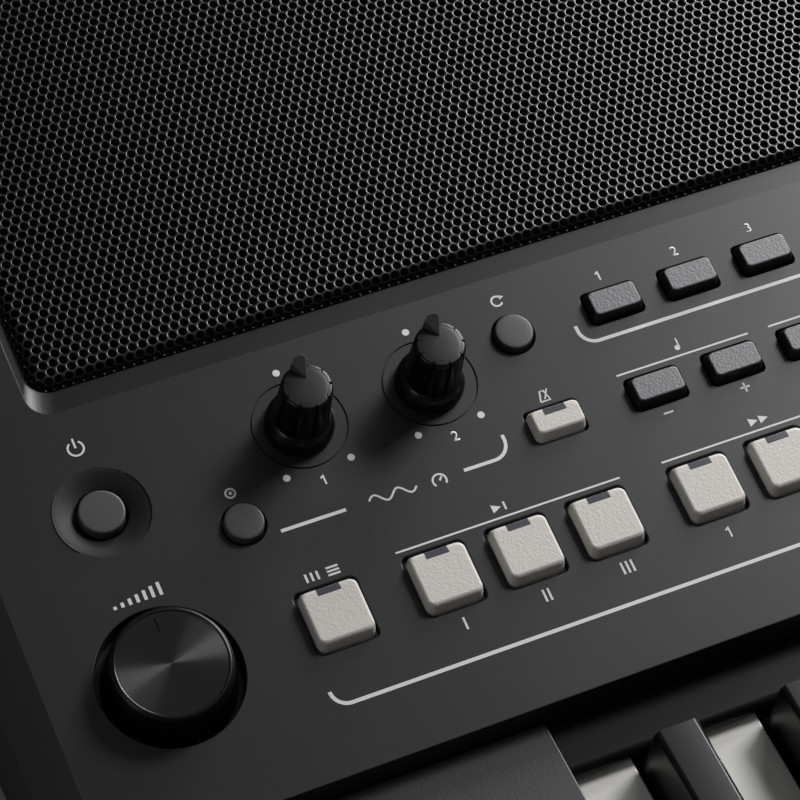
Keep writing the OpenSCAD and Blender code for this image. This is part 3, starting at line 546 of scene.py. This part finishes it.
def panel_openings():
    """Tools for the front step, the button holes, the grille mouths, the dish and the back."""
    tools = [block("step", (-499, PANEL_Y - 1, SPLIT_Z - 1), (499, PANEL_Y + 4, FRONT_Z - 10))]
    light = slab("light_hole", LIGHT_HOLE, OPEN_LOW, OPEN_HIGH, 1.6, 5)
    dark = slab("dark_hole", DARK_HOLE, OPEN_LOW, OPEN_HIGH, 1.3, 5)
    tools += [twin(light, "hole", spot(x, y))
              for x, y in INTRO + MAIN + TRANSPORT + MEMORY + [ACCOMP]]
    tools += [twin(dark, "hole", spot(x, y)) for x, y in STYLE + TEMPO + DISPLAY + VOICE]
    drop(light, dark)
    tools.append(put(slab("hole", WIDE_HOLE, OPEN_LOW, OPEN_HIGH, 1.3, 5), spot(*METRONOME)))
    for place in (ASSIGN, TAP):
        tools.append(put(rod("hole", 4.65, OPEN_LOW, OPEN_HIGH, 64), spot(*place)))
    for place in LIVE + [DIAL]:
        tools.append(put(rod("hole", 3.5, OPEN_LOW, OPEN_HIGH, 32), spot(*place)))
    for x, y in GRILLES.values():
        mouth = plate("mouth", 294, 128, -9, 5, 8)
        draw_up(mouth, [(294, 128, -9), (294, 128, -2.9), (298.28, 136.77, 0.2)],
                shift=(0, -2.245))
        draw_up(mouth, [(1, 1, 0.2), (1, 1, OPEN_HIGH)])
        tools.append(put(outward(mouth), spot(x, y)))
    tools.append(put(slab("recess", (132, 84), -1.6, OPEN_HIGH, 3, 5), spot(*SCREEN)))
    tools.append(put(rod("well", 14.75, -5.5, OPEN_HIGH, 128), spot(*VOLUME)))
    bowl = [(POWER_HOLE_R + (BOWL_R - POWER_HOLE_R) * i / 10, -BOWL_DEPTH * (1 - i / 10) ** 1.35)
            for i in range(11)]
    rim = BOWL_R + 0.1
    tools.append(put(turned("bowl", bowl + [(rim, 0.1), (rim, OPEN_HIGH)], 128), spot(*POWER)))
    tools.append(block("rear", (-225, REAR_Y - 6, 47), (105, REAR_Y + 2, 77)))
    return joined("tools", tools)


def through_holes():
    """Tools that go on through the dish, the well and the tubs."""
    tools = [put(rod("hole", POWER_HOLE_R, -12, OPEN_HIGH, 96), spot(*POWER)),
             put(rod("hole", 3.5, -12, OPEN_HIGH, 32), spot(*VOLUME))]
    tools += [put(rod("cone_hole", 51, -14, -5, 72), spot(x, y)) for x, y in GRILLES.values()]
    return joined("tools", tools)


def engraved_rings():
    """Tools for the fine ring round each live knob."""
    rings = []
    for place in LIVE:
        ring = rod("ring", 10.08, -0.35, 0.5, 128)
        rings.append(put(cut(ring, rod("inner", 9.68, -1, 1, 128)), spot(*place)))
    return joined("rings", rings)


def upper_case():
    case = case_shell()
    cut(case, hanging_tubs(), "UNION")
    cut(case, panel_openings())
    cut(case, through_holes())
    ease(case, 0.18, 2, 50)
    cut(case, engraved_rings())
    paint(smooth(case, 18), panel_plastic, dish_plastic)
    to_panel_frame = TO_PANEL.inverted()
    for face in case.data.polygons:
        c = to_panel_frame @ face.center / mm
        if math.hypot(c.x - POWER[0], c.y - POWER[1]) < BOWL_R + 0.08 and c.z > -4:
            face.material_index = 1
    return case


stand(upper_case(), "case", "top_case")


# ---- Caps with lamp windows ----

def cap(name, hole, top, r, e, gap=0.45):
    """A cap on its flange and stem: straight in its hole, tapered above the panel."""
    base = (hole[0] - 2 * gap, hole[1] - 2 * gap)
    flange = (hole[0] + 2.2, hole[1] + 2.2)
    piece = plate(name, *flange, FLANGE_LOW, r + 0.8, 5)
    draw_up(piece, [(*flange, FLANGE_LOW), (*flange, FLANGE_HIGH), (*base, FLANGE_HIGH + 0.001),
                    (*base, 0), (*top, CAP_H)])
    done(piece)
    edit(piece, "EDGE")
    pick_edges(piece, lambda a, b: min(a.z, b.z) > CAP_H - 0.01)
    bpy.ops.mesh.bevel(offset=e * mm, segments=5, affect="EDGES")
    outward(piece)
    stem = block("stem", (-2, -2, -10), (2, 2, -4))
    return joined(name, [piece, stem])


def with_window(piece, top):
    """Cuts the notch for the lamp window into the back edge of a cap."""
    back = top[1] / 2
    cut(piece, block("notch", (-2.5, back - 1.5, CAP_H - 1.4), (2.5, back + 4, CAP_H + 2)))
    return paint(smooth(piece, 40), light_cap)


def two_tone(piece, side, top, height, reach=0.97):
    """Paints what faces up above a height (mm) in a finish of its own."""
    paint(piece, side, top)
    for face in piece.data.polygons:
        if face.normal.z > reach and face.center.z > height * mm:
            face.material_index = 1
    return piece


def window(name, top):
    """A lamp window that fills the notch and leans forward with the back of the cap."""
    y = top[1] / 2
    lamp = block(name, (-2.44, y - 1.46, CAP_H - 1.38), (2.44, y + 0.32, CAP_H - 0.06))

    def lean(p):
        return Vector((p.x, p.y - 0.35, p.z)) if p.y > y and p.z > CAP_H - 1 else p

    move_points(lamp, lean)
    return paint(smooth(ease(lamp, 0.09, 2, 30), 40), lamp_window)


light = with_window(cap("light_cap", LIGHT_HOLE, LIGHT_TOP, 1.4, 0.65, 0.65), LIGHT_TOP)
dark = smooth(cap("dark_cap", DARK_HOLE, DARK_TOP, 1.0, 0.34), 40)
# Faces above 2 mm tilted less than about 41 degrees from up take the grey, a painted highlight
# along the rounded top edge; all else takes near black, painted shade on the flanks.
two_tone(dark, shaded_cap_side, dark_cap, 2, 0.75)
wide = with_window(cap("metronome_cap", WIDE_HOLE, WIDE_TOP, 1.2, 0.45), WIDE_TOP)
lamp, wide_lamp = window("lamp", LIGHT_TOP), window("wide_lamp", WIDE_TOP)

for node, places in {"accomp_button": [ACCOMP], "intro_button_1": INTRO[:1],
                     "intro_button_2": INTRO[1:2], "intro_button_3": INTRO[2:],
                     "main_button_1": MAIN[:1], "main_button_2": MAIN[1:2],
                     "main_buttons_more": MAIN[2:], "transport_buttons": TRANSPORT,
                     "memory_buttons": MEMORY}.items():
    stand(row_of(light, node + "_cap", places), node, node)
    glow = row_of(lamp, node + "_window", places)
    lamp_node = node.replace("button", "lamp")
    stand(glow, node, *([lamp_node] if lamp_node in nodes else []))
stand(row_of(wide, "metronome_button_cap", [METRONOME]), "metronome_button", "metronome_button")
stand(row_of(wide_lamp, "metronome_button_window", [METRONOME]), "metronome_button",
      "metronome_lamp")
for node, places in {"tempo_minus": TEMPO[:1], "tempo_plus": TEMPO[1:2],
                     "transpose_minus": TEMPO[2:3], "transpose_plus": TEMPO[3:],
                     "style_button_1": STYLE[:1], "style_button_2": STYLE[1:2],
                     "style_button_3": STYLE[2:3], "style_buttons_more": STYLE[3:],
                     "display_buttons": DISPLAY, "voice_buttons": VOICE}.items():
    stand(row_of(dark, node + "_cap", places), node, node)
drop(light, dark, wide, lamp, wide_lamp)

# ---- Round buttons ----

small = turned("small_round", [(5.75, FLANGE_LOW), (5.75, FLANGE_HIGH), (4.1, -3.19), (4.08, 1.2),
                               (4.04, 1.4), (3.93, 1.55), (3.78, 1.62), (3.55, 1.65), (2.4, 1.69),
                               (0.8, 1.71)], 96)
paint(smooth(small, 40), round_cap)
stand(row_of(small, "assign_cap", [ASSIGN]), "assign_button", "assign_button")
stand(row_of(small, "tap_cap", [TAP]), "tap_button", "tap_button")
drop(small)
power = turned("power_cap", [(6.7, -7), (6.7, -5.9), (4.82, -5.89), (4.78, -0.2), (4.72, 0.0),
                             (4.6, 0.13), (4.44, 0.2), (4.2, 0.23), (1.0, 0.25)], 96)
paint(smooth(power, 40), round_cap)
stand(put(power, spot(*POWER)), "power_button", "power_button")


# ---- Knobs ----

def ribbed(piece, count, depth, low, high):
    """Draws shallow ribs into the flank of a turned piece, between two heights (mm)."""
    def rib(p):
        if p.z > high or p.z < low:
            return p
        k = 1 - depth * (0.5 + 0.5 * math.cos(count * math.atan2(p.y, p.x)))
        return Vector((p.x * k, p.y * k, p.z))

    move_points(piece, rib)


def volume_knob():
    knob = turned("volume_form", [(13.15, -5.3), (13.55, -4.9), (13.3, -2.4), (12.95, 0),
                                  (12.5, 2.6), (12.12, 4.9), (11.98, 5.9), (11.8, 6.4),
                                  (11.5, 6.72), (11.25, 6.8), (11.02, 6.8), (10.9, 6.72),
                                  (10.82, 6.62), (3, 6.62)], 288)
    ribbed(knob, 72, 0.010, -5.0, 5.2)
    cut(knob, block("index", (-0.22, 6.9, 6.45), (0.22, 9.75, 8)))
    smooth(knob, 35)
    two_tone(knob, knob_gloss, volume_brushed, 6.5)
    shaft = paint(rod("shaft", SHAFT_R, SHAFT_LOW, -5, 32), knob_gloss)
    return put(joined("volume_form", [knob, shaft]), spot(*VOLUME))


def knob_grip():
    """The live knob's grip: nine narrow slots with round bottoms in a tapered flank."""
    slots, half_width, draw_in = 9, 0.085, 0.095
    grip = disc("grip", 5.95, 3.9, 288)
    done(grip)

    def depth(p):
        a = (math.atan2(p.y, p.x) + math.pi / 2) * slots / (2 * math.pi)
        d = abs(a - round(a)) / half_width
        return 1 - draw_in * math.sqrt(1 - d * d) if d < 1 else 1

    move_points(grip, lambda p: Vector((p.x * depth(p), p.y * depth(p), p.z)))
    edit(grip, whole=True)
    draw_up(grip, [(r, r, z) for r, z in ((5.95, 3.9), (5.65, 9.0), (5.35, 15.2), (5.28, 15.75),
                                          (5.14, 16.1), (4.93, 16.3), (4.7, 16.39),
                                          (4.0, 16.39))])
    return two_tone(smooth(outward(grip), 35), knob_gloss, knob_top, 16.3, 0.975)


def knob_pointer():
    """The live knob's pointer: a ramp that widens and rises from near the middle to the rim."""
    foot = [(0.3, 1.7), (0.65, 1.75), (1.85, 5.0), (1.3, 5.7), (-1.35, 5.7), (-2.0, 4.8)]
    crest = [(0.33, 1.8, 16.75), (0.62, 1.85, 16.85), (1.45, 5.0, 19.0), (0.95, 5.6, 19.5),
             (-0.95, 5.6, 19.3), (-1.6, 4.8, 18.4)]
    foot_z, lift = 15.0, 3
    clear()
    bpy.ops.mesh.primitive_circle_add(vertices=len(foot), radius=2 * mm, fill_type="NGON",
                                      location=(0, 0, 0))
    fin = named("fin")
    for v, p in zip(fin.data.vertices, foot):
        v.co = Vector((*p, foot_z)) * mm
    edit(fin, whole=True)
    bpy.ops.mesh.extrude_region_move(TRANSFORM_OT_translate={"value": (0, 0, lift * mm)})
    done(fin)
    for v in fin.data.vertices:
        if v.co.z > (foot_z + 1) * mm:
            over = min(range(len(foot)), key=lambda i: (Vector(foot[i]) - v.co.xy / mm).length)
            v.co = Vector(crest[over]) * mm
    outward(fin)
    return smooth(paint(ease(fin, 0.2, 3, 20), lit_pointer_plastic), 40)


def live_knob(name):
    skirt = turned("skirt", [(7.0, 0.4), (7.22, 0.5), (7.3, 0.8), (7.28, 1.5), (7.15, 2.3),
                             (6.95, 3.0), (6.65, 3.65), (6.25, 4.2), (5.9, 4.6), (5.6, 4.7)], 96)
    smooth(paint(skirt, knob_gloss), 50)
    grip = knob_grip()
    crown = turned("crown", [(4.2, 16.2), (4.2, 16.39), (4.1, 16.41), (3.5, 16.46), (2.8, 16.5),
                             (2.0, 16.54), (0.8, 16.57)], 96)
    smooth(paint(crown, knob_top), 40)
    fin = knob_pointer()
    shaft = paint(rod("shaft", SHAFT_R, SHAFT_LOW, 3, 32), knob_gloss)
    return joined(name, [grip, crown, skirt, fin, shaft])


stand(volume_knob(), "volume_knob", "volume_knob")
for i, place in enumerate(LIVE, 1):
    knob = put(live_knob(f"live_form_{i}"), spot(*place))
    stand(knob, f"live_knob_{i}", f"live_knob_{i}")


# ---- Pierced grilles: fine holes in a sheet whose edges turn down into the mouth ----

HOLE_PITCH = 2.2
ROW_STEP = HOLE_PITCH * math.sqrt(3) / 2
HOLE_R, RIM_DROP, SHEET_T = 0.915, 0.055, 0.5
# The sheet's half width and depth, its corners, and the bend and the flank at its edge.
HALF_W, HALF_D, CORNER, BEND_R, FLANK = 145.9, 62.9, 2.0, 2.2, 3.6
CORE = (HALF_W - BEND_R - CORNER, HALF_D - BEND_R - CORNER)
SHEETS = 4


def hole_cell():
    """One six-sided cell of the sheet: a flat web, a dished rim and the wall of the hole."""
    corner_r = HOLE_PITCH / math.sqrt(3)
    clear()
    bpy.ops.mesh.primitive_circle_add(vertices=12, radius=corner_r * mm, fill_type="NGON",
                                      location=(0, 0, 0))
    cell = named("cell")
    for v in cell.data.vertices:
        turn = round(math.degrees(math.atan2(v.co.y, v.co.x)) / 30)
        r = corner_r * (1 if turn % 2 == 1 else math.sqrt(3) / 2)
        a = math.radians(turn * 30)
        v.co = Vector((r * math.cos(a), r * math.sin(a), 0)) * mm
    for r, z in ((1.07, 0.0), (HOLE_R, -RIM_DROP), (HOLE_R, -SHEET_T)):
        edit(cell)
        pick_faces(cell, lambda c, n: c.xy.length < 0.1)
        bpy.ops.mesh.inset(thickness=0.05 * mm)
        done(cell)
        middle = min(cell.data.polygons, key=lambda f: f.center.xy.length)
        for i in middle.vertices:
            v = cell.data.vertices[i]
            ring = v.co.xy.normalized() * r * mm
            v.co = (ring.x, ring.y, z * mm)
        cell.data.update()
    edit(cell)
    pick_faces(cell, lambda c, n: c.xy.length < 0.1)
    bpy.ops.mesh.delete(type="FACE")
    return done(cell)


def repeated(piece, count, step, merge):
    """Lays copies of a piece in a line, a step (mm) apart, and welds them if asked."""
    return modify(piece, "ARRAY", count=count, use_relative_offset=False,
                  use_constant_offset=True, constant_offset_displace=[s * mm for s in step],
                  use_merge_vertices=merge, merge_threshold=0.02 * mm)


def pierced_strip(cell, columns, rows):
    strip = twin(cell, "strip", Matrix.Identity(4))
    repeated(strip, columns, (HOLE_PITCH, 0, 0), True)
    odd = twin(strip, "odd", Matrix.Translation((HOLE_PITCH / 2 * mm, ROW_STEP * mm, 0)))
    strip = joined("strip", [strip, odd])
    repeated(strip, rows // 2, (0, 2 * ROW_STEP, 0), False)
    edit(strip, "VERT", whole=True)
    bpy.ops.mesh.remove_doubles(threshold=0.02 * mm)
    return done(strip)


def turn_down(piece):
    """Bends the flat sheet's margin round its edge and down."""
    co = np.empty(len(piece.data.vertices) * 3)
    piece.data.vertices.foreach_get("co", co)
    co = co.reshape(-1, 3) / mm
    core = np.array(CORE)
    near = np.clip(co[:, :2], -core, core)
    away = co[:, :2] - near
    length = np.hypot(away[:, 0], away[:, 1])
    out = np.divide(away, length[:, None], out=np.zeros_like(away), where=length[:, None] > 1e-9)
    past = length - CORNER
    arc = BEND_R * math.pi / 2
    bend = np.clip(past, 0, arc) / BEND_R
    reach = np.where(past > 0, CORNER + BEND_R * np.sin(bend), length)
    drop_by = BEND_R * (1 - np.cos(bend)) + np.clip(past - arc, 0, None)
    lowered = np.where(past > 0, drop_by, 0)
    depth = co[:, 2]
    flat = near + out * (reach + depth * np.sin(bend))[:, None]
    co = np.column_stack([flat, -lowered + depth * np.cos(bend)])
    piece.data.vertices.foreach_set("co", (co * mm).ravel())
    piece.data.update()


def grille(side):
    cell = hole_cell()
    margin = BEND_R * math.pi / 2 - BEND_R + FLANK
    limit = margin + BEND_R + 1.2
    wide, deep = 2 * (HALF_W + margin), 2 * (HALF_D + margin)
    columns = int(wide / HOLE_PITCH / SHEETS) + 1
    rows = int(deep / ROW_STEP / 2) * 2
    strip = pierced_strip(cell, columns, rows)

    def beyond(c, n):
        return math.hypot(max(abs(c.x) - CORE[0], 0), max(abs(c.y) - CORE[1], 0)) > limit

    left = (HOLE_PITCH - (columns * SHEETS * HOLE_PITCH + HOLE_PITCH / 2)) / 2
    front = -(rows - 1) * ROW_STEP / 2
    for part in range(SHEETS):
        place = Matrix.Translation(((left + part * columns * HOLE_PITCH) * mm, front * mm, 0))
        sheet = twin(strip, f"grille_{side}_sheet_{part + 1}", place)
        edit(sheet)
        pick_faces(sheet, beyond)
        bpy.ops.mesh.delete(type="FACE")
        done(sheet)
        turn_down(sheet)
        smooth(sheet, 40, False)
        put(sheet, spot(*GRILLES[side], -2.0))
        stand(paint(sheet, grille_paint), "case", "grille_" + side)
    drop(cell, strip)


for side in GRILLES:
    grille(side)
    # A near-black cloth under each grille: painted shade for the inside of the grille.
    cloth = slab(f"cloth_{side}", (288, 122), -8.7, -8.2, 3, 4)
    stand(paint(put(cloth, spot(*GRILLES[side])), cloth_painted_shade), "case")


# ---- Display, dial, sockets ----

lens = slab("lens_form", (131.4, 83.4), -1.4, 0, 2.7, 6)
smooth(ease(lens, 0.15, 2, 50), 40)
stand(paint(put(lens, spot(*SCREEN)), glass), "case", "display_lens")
view = slab("display_window", (116, 66), -0.002, 0.012, 1.5, 4)
stand(paint(put(view, spot(SCREEN[0], SCREEN[1] + 2)), screen_film), "case")


def data_dial():
    dial = turned("dial_form", [(22.6, 0.4), (23, 0.8), (23, 6.4), (22.8, 7.0), (22.4, 7.5),
                                (21.7, 7.9), (21.0, 8.0), (20.3, 7.86), (19.6, 7.6), (18.4, 7.3),
                                (2.0, 7.2)], 240)
    ribbed(dial, 60, 0.012, 0.6, 6.6)
    clear()
    bpy.ops.mesh.primitive_uv_sphere_add(segments=48, ring_count=24, radius=7 * mm,
                                         location=(0, 14.26 * mm, 12.2 * mm))
    cut(dial, named("dimple"))
    smooth(dial, 35)
    shaft = rod("shaft", SHAFT_R, SHAFT_LOW, 1, 32)
    return paint(put(joined("dial_form", [dial, shaft]), spot(*DIAL)), round_cap)


stand(data_dial(), "data_dial", "data_dial")


def dressed(node, body, finish, width, steps=2):
    """A copy of a CAD piece with its edges eased, in place of it."""
    piece = bpy.data.objects.new(node + "_form", nodes[node].data.copy())
    bpy.context.scene.collection.objects.link(piece)
    take(piece)
    bpy.ops.mesh.customdata_custom_splitnormals_clear()
    edit(piece, "VERT", whole=True)
    bpy.ops.mesh.remove_doubles(threshold=0.002 * mm)
    bpy.ops.mesh.dissolve_limited(angle_limit=math.radians(0.4))
    done(piece)
    ease(piece, width, steps, 35)
    smooth(piece, 35)
    stand(paint(piece, finish), body, node)


dressed("bottom_case", "case", lower_plastic, 0.5)
dressed("left_cheek", "case", end_plastic, 0.5)
dressed("right_cheek", "case", end_plastic, 0.5)
dressed("key_strip", "case", strip_satin, 0.25)
dressed("rear_jacks", "case", socket_plastic, 0.2)
dressed("dc_inlet", "case", socket_plastic, 0.15)
dressed("feet", "case", rubber, 0.3)
dressed("pitch_wheel", "pitch_wheel", wheel_plastic, 0.3)
dressed("modulation_wheel", "modulation_wheel", wheel_plastic, 0.3)
for part in ("low", "mid", "high"):
    dressed("white_keys_" + part, "keys_" + part, white_key, 0.45, 3)
    dressed("black_keys_" + part, "keys_" + part, black_key, 0.3, 2)
for node, finish in {"key_frame": frame_plastic, "key_rod": screw_steel,
                     "panel_board": board_lacquer, "speaker_left": cone_card,
                     "speaker_right": cone_card, "case_screws": screw_steel}.items():
    paint(nodes[node], finish)


# ---- Printing: thin ink on the panel, with plain signs and numbers ----

FINE, STROKE, BOLD = 0.4, 0.42, 0.8


def ink_line(points, width):
    """A flat inked line: a strip of squares laid along points on the panel."""
    clear()
    last = len(points) - 1
    bpy.ops.mesh.primitive_grid_add(x_subdivisions=last, y_subdivisions=1, size=1,
                                    location=(0, 0, 0))
    strip = named("line")
    for v in strip.data.vertices:
        i = round((v.co.x + 0.5) * last)
        along = (Vector(points[min(i + 1, last)]) - Vector(points[max(i - 1, 0)])).normalized()
        middle = Vector(points[i])
        reach = width * v.co.y
        v.co = Vector((middle.x - along.y * reach, middle.y + along.x * reach, 0)) * mm
    return strip


def ink_arc(cx, cy, r, start, end, steps=12):
    angles = [math.radians(start + (end - start) * i / steps) for i in range(steps + 1)]
    return [(cx + r * math.cos(a), cy + r * math.sin(a)) for a in angles]


def level(x0, x1, y, width):
    return ink_line([(x0, y), (x1, y)], width)


def upright(x, y0, y1, width):
    return ink_line([(x, y0), (x, y1)], width)


def ink_dot(x, y, r):
    piece = disc("dot", r, 0, 24)
    done(piece)
    return put(piece, Matrix.Translation((x * mm, y * mm, 0)))


def ink_sign(text, x, y, tall):
    if text == "1":
        h, stem = tall / 2, x + 0.02 * tall
        return ink_line([(x - 0.28 * tall, y + 0.45 * h), (x - 0.1 * tall, y + 0.62 * h),
                         (stem, y + h), (stem, y - h)], 0.17 * tall)
    clear()
    bpy.ops.object.text_add(location=(0, 0, 0))
    piece = named("sign")
    piece.data.body = text
    piece.data.size = tall / 0.69 * mm
    piece.data.align_x, piece.data.align_y = "CENTER", "CENTER"
    piece.data.offset = 0.05 * mm
    bpy.ops.object.convert(target="MESH")
    return put(bpy.context.object, Matrix.Translation((x * mm, y * mm, 0)))


def numbers(places, y, tall):
    return [ink_sign(str(i), x, y, tall) for i, (x, _) in enumerate(places, 1)]


def ink_wedge(x, y, w, h):
    piece = disc("wedge", 1, 0, 3)
    done(piece)
    corners = ((x - w / 2, y - h / 2), (x + w / 2, y), (x - w / 2, y + h / 2))
    for v, p in zip(piece.data.vertices, corners):
        v.co = Vector((*p, 0)) * mm
    return piece


marks = []
# Dots round the live knobs, and their numbers.
for x, y in LIVE:
    marks += [ink_dot(x, y + 12.56, 0.78), ink_dot(x - 7.05, y - 10.39, 0.78),
              ink_dot(x + 7.05, y - 10.39, 0.78)]
marks += numbers(LIVE, LIVE[0][1] - 13.2, 2.2)
# In front of them: a wave, a gauge with its hand, a line, and a line that turns up at its end.
wave = [(76.0 + k * 0.35, 52.7 + 0.95 * math.sin(k * 0.42)) for k in range(31)]
marks += [ink_line(wave, STROKE), ink_line(ink_arc(91.4, 52.2, 1.45, 220, -40, 20), STROKE),
          ink_line([(91.4, 52.2), (92.1, 53.0)], STROKE), level(56.8, 70.9, 52.6, 0.75),
          ink_line([(97.0, 52.6), (104.0, 52.6)] + ink_arc(104.0, 56.3, 3.7, -82, 0)
                   + [(107.7, 57.4)], 0.75)]
# Fine lines behind groups of buttons, and bold ones that turn back at their left end.
marks += [level(76.5, 126.6, 40.3, FINE), level(136.3, 221.3, 40.4, FINE),
          level(136.1, 167.1, 61.9, FINE), level(172.0, 203.0, 61.9, FINE),
          ink_line([(132.9, 75.6)] + ink_arc(136.4, 74.4, 3.5, 180, 270) + [(293.4, 70.9)], BOLD),
          ink_line([(52.6, 17.4)] + ink_arc(56.0, 17.3, 3.4, 180, 270) + [(345.0, 13.9)], BOLD)]
# Intro buttons: one to three bars. Main buttons: numbers. Tempo and transpose: minus and plus.
for i, (x, _) in enumerate(INTRO):
    marks += [upright(x + (k - i / 2) * 1.1, 20.2, 22.9, 0.48) for k in range(i + 1)]
marks += numbers(MAIN, 21.5, 2.4)
for x, _ in (TEMPO[0], TEMPO[2]):
    marks.append(level(x - 1.1, x + 1.1, 50.5, STROKE))
for x, _ in (TEMPO[1], TEMPO[3]):
    marks += [level(x - 1.1, x + 1.1, 50.5, STROKE), upright(x, 49.4, 51.6, STROKE)]
# Power button: a ring with a gap and a bar.
x, y = 25.0, 83.7
marks += [ink_line(ink_arc(x, y - 0.2, 1.62, 125, 415, 32), STROKE),
          upright(x, y - 0.1, y + 2.1, STROKE)]
# Volume: rising bars. Accompaniment: three bars twice. Assign: a ring round a dot.
marks += [upright(20.0 + k * 1.6, 47.8, 48.5 + k * 0.36, 0.7) for k in range(7)]
marks += [upright(57.6 + k * 1.2, 40.3, 42.2, 0.5) for k in range(3)]
marks += [level(62.0, 64.6, y, 0.45) for y in (40.4, 41.2, 42.0)]
marks += [ink_line(ink_arc(50.4, 63.8, 1.0, 0, 360, 24), STROKE), ink_dot(50.4, 63.8, 0.38)]
# Over the intro group: a wedge and a bar. Over the main group: two wedges.
marks += [ink_wedge(99.8, 42.6, 2.0, 1.9), upright(101.6, 41.7, 43.5, 0.45),
          ink_wedge(158.8, 42.6, 2.0, 1.9), ink_wedge(161.2, 42.6, 2.0, 1.9)]
# Over tempo and transpose: a note. Metronome: its case with the hand. Tap: an arc with a wedge.
for x in (151.8, 187.8):
    marks += [ink_dot(x - 0.5, 63.8, 0.62), upright(x - 0.02, 63.8, 66.0, 0.32)]
box = [(118.5, 61.6), (119.2, 64.0), (120.0, 64.0), (120.7, 61.6), (118.5, 61.6)]
marks += [ink_line(box, 0.36), ink_line([(119.6, 62.0), (120.9, 64.2)], 0.3),
          ink_line(ink_arc(119.6, 86.6, 1.15, 30, 330, 24), STROKE),
          ink_wedge(120.9, 87.3, 1.1, 1.1)]
# Style and memory buttons: numbers. Right half: a fine line and a bold one.
marks += numbers(STYLE, 85.2, 2.2) + numbers(MEMORY, 21.5, 2.2)
marks += [level(RIGHT_X - 8, RIGHT_X + 170, 40.3, FINE),
          level(RIGHT_X - 8, RIGHT_X + 170, 13.9, BOLD)]
# Transport: two wedges, a square, a dot and two pairs of bars.
marks += [ink_wedge(x, 21.5, 2.1, 2.2) for x, _ in TRANSPORT[:2]]
x = TRANSPORT[2][0]
marks.append(ink_line([(x - 1, 20.5), (x + 1, 20.5), (x + 1, 22.5), (x - 1, 22.5), (x - 1, 20.5)],
                      FINE))
marks.append(ink_dot(TRANSPORT[3][0], 21.5, 1.1))
for x, _ in TRANSPORT[4:]:
    marks += [upright(x - 0.6, 20.5, 22.5, 0.5), upright(x + 0.6, 20.5, 22.5, 0.5)]
printing = joined("printing", marks)
edit(printing, whole=True)
bpy.ops.mesh.extrude_region_move(TRANSFORM_OT_translate={"value": (0, 0, 0.03 * mm)})
outward(printing)
stand(paint(put(printing, spot(0, 0, 0.004)), ink), "case")

# Nickel rings round the plug sockets.
rings = []
for x in (-170, -140, -110, -80):
    ring = turned("ring", [(5.3, 0), (5.3, 0.5), (4.9, 0.8), (4.2, 0.8)], 64)
    cut(ring, rod("bore", 3.35, -1, 2, 64))
    rings.append(put(ring, Matrix.Translation((x * mm, (REAR_Y - 0.9) * mm, 62 * mm))
                     @ Matrix.Rotation(-math.pi / 2, 4, "X")))
stand(paint(smooth(joined("socket_rings", rings), 30), socket_ring), "case")


# ---- Floor, light and camera ----

def floor():
    clear()
    bpy.ops.mesh.primitive_plane_add(size=9, location=(0, 0, 0))
    piece = named("floor")
    made, tree, bsdf = material("floor_paint")
    g = use(tree, GRAIN, Size=2.0, Unevenness=0.03)
    tree.links.new(toned(tree, (0.45, 0.45, 0.455), g.outputs["Tone"]), bsdf.inputs["Base Color"])
    bsdf.inputs["Roughness"].default_value = 0.7
    paint(piece, made)


def soft_lamp(name, place, aim, size, power):
    clear()
    bpy.ops.object.light_add(type="AREA", location=place)
    lamp = bpy.context.object
    lamp.name = name
    lamp.data.size = size
    lamp.data.energy = power
    lamp.visible_camera = False
    lamp.rotation_euler = (Vector(aim) - Vector(place)).to_track_quat("-Z", "Y").to_euler()


# The middle of the photographed part, which the two main lamps face.
PHOTOGRAPHED = (-0.36, 0.0, 0.1)
floor()
soft_lamp("key_light", (0.52, 0.34, 0.99), PHOTOGRAPHED, 0.36, 11.8)
soft_lamp("back_light", (0.394, 0.694, 0.507), PHOTOGRAPHED, 0.45, 9.6)
soft_lamp("side_light", (-1.76, -0.40, 0.70), (-0.4, 0.0, 0.1), 0.45, 1.6)
soft_lamp("fill_light", (-0.2, -0.1, 2.2), (-0.2, 0.0, 0.1), 1.8, 1.2)
world = bpy.data.worlds.new("studio")
bpy.context.scene.world = world
world.use_nodes = True
world.node_tree.nodes["Background"].inputs["Color"].default_value = (0.06, 0.06, 0.062, 1)

clear()
bpy.ops.object.camera_add(location=(-0.590234, -0.313578, 0.592091),
                          rotation=(0.657470194, -0.054642536, -0.421678372))
camera = bpy.context.object
camera.name = "camera"
camera.data.lens = 136.238
camera.data.sensor_width = 36
camera.data.clip_start = 0.01
bpy.context.scene.camera = camera
bpy.context.scene.view_settings.view_transform = "Standard"
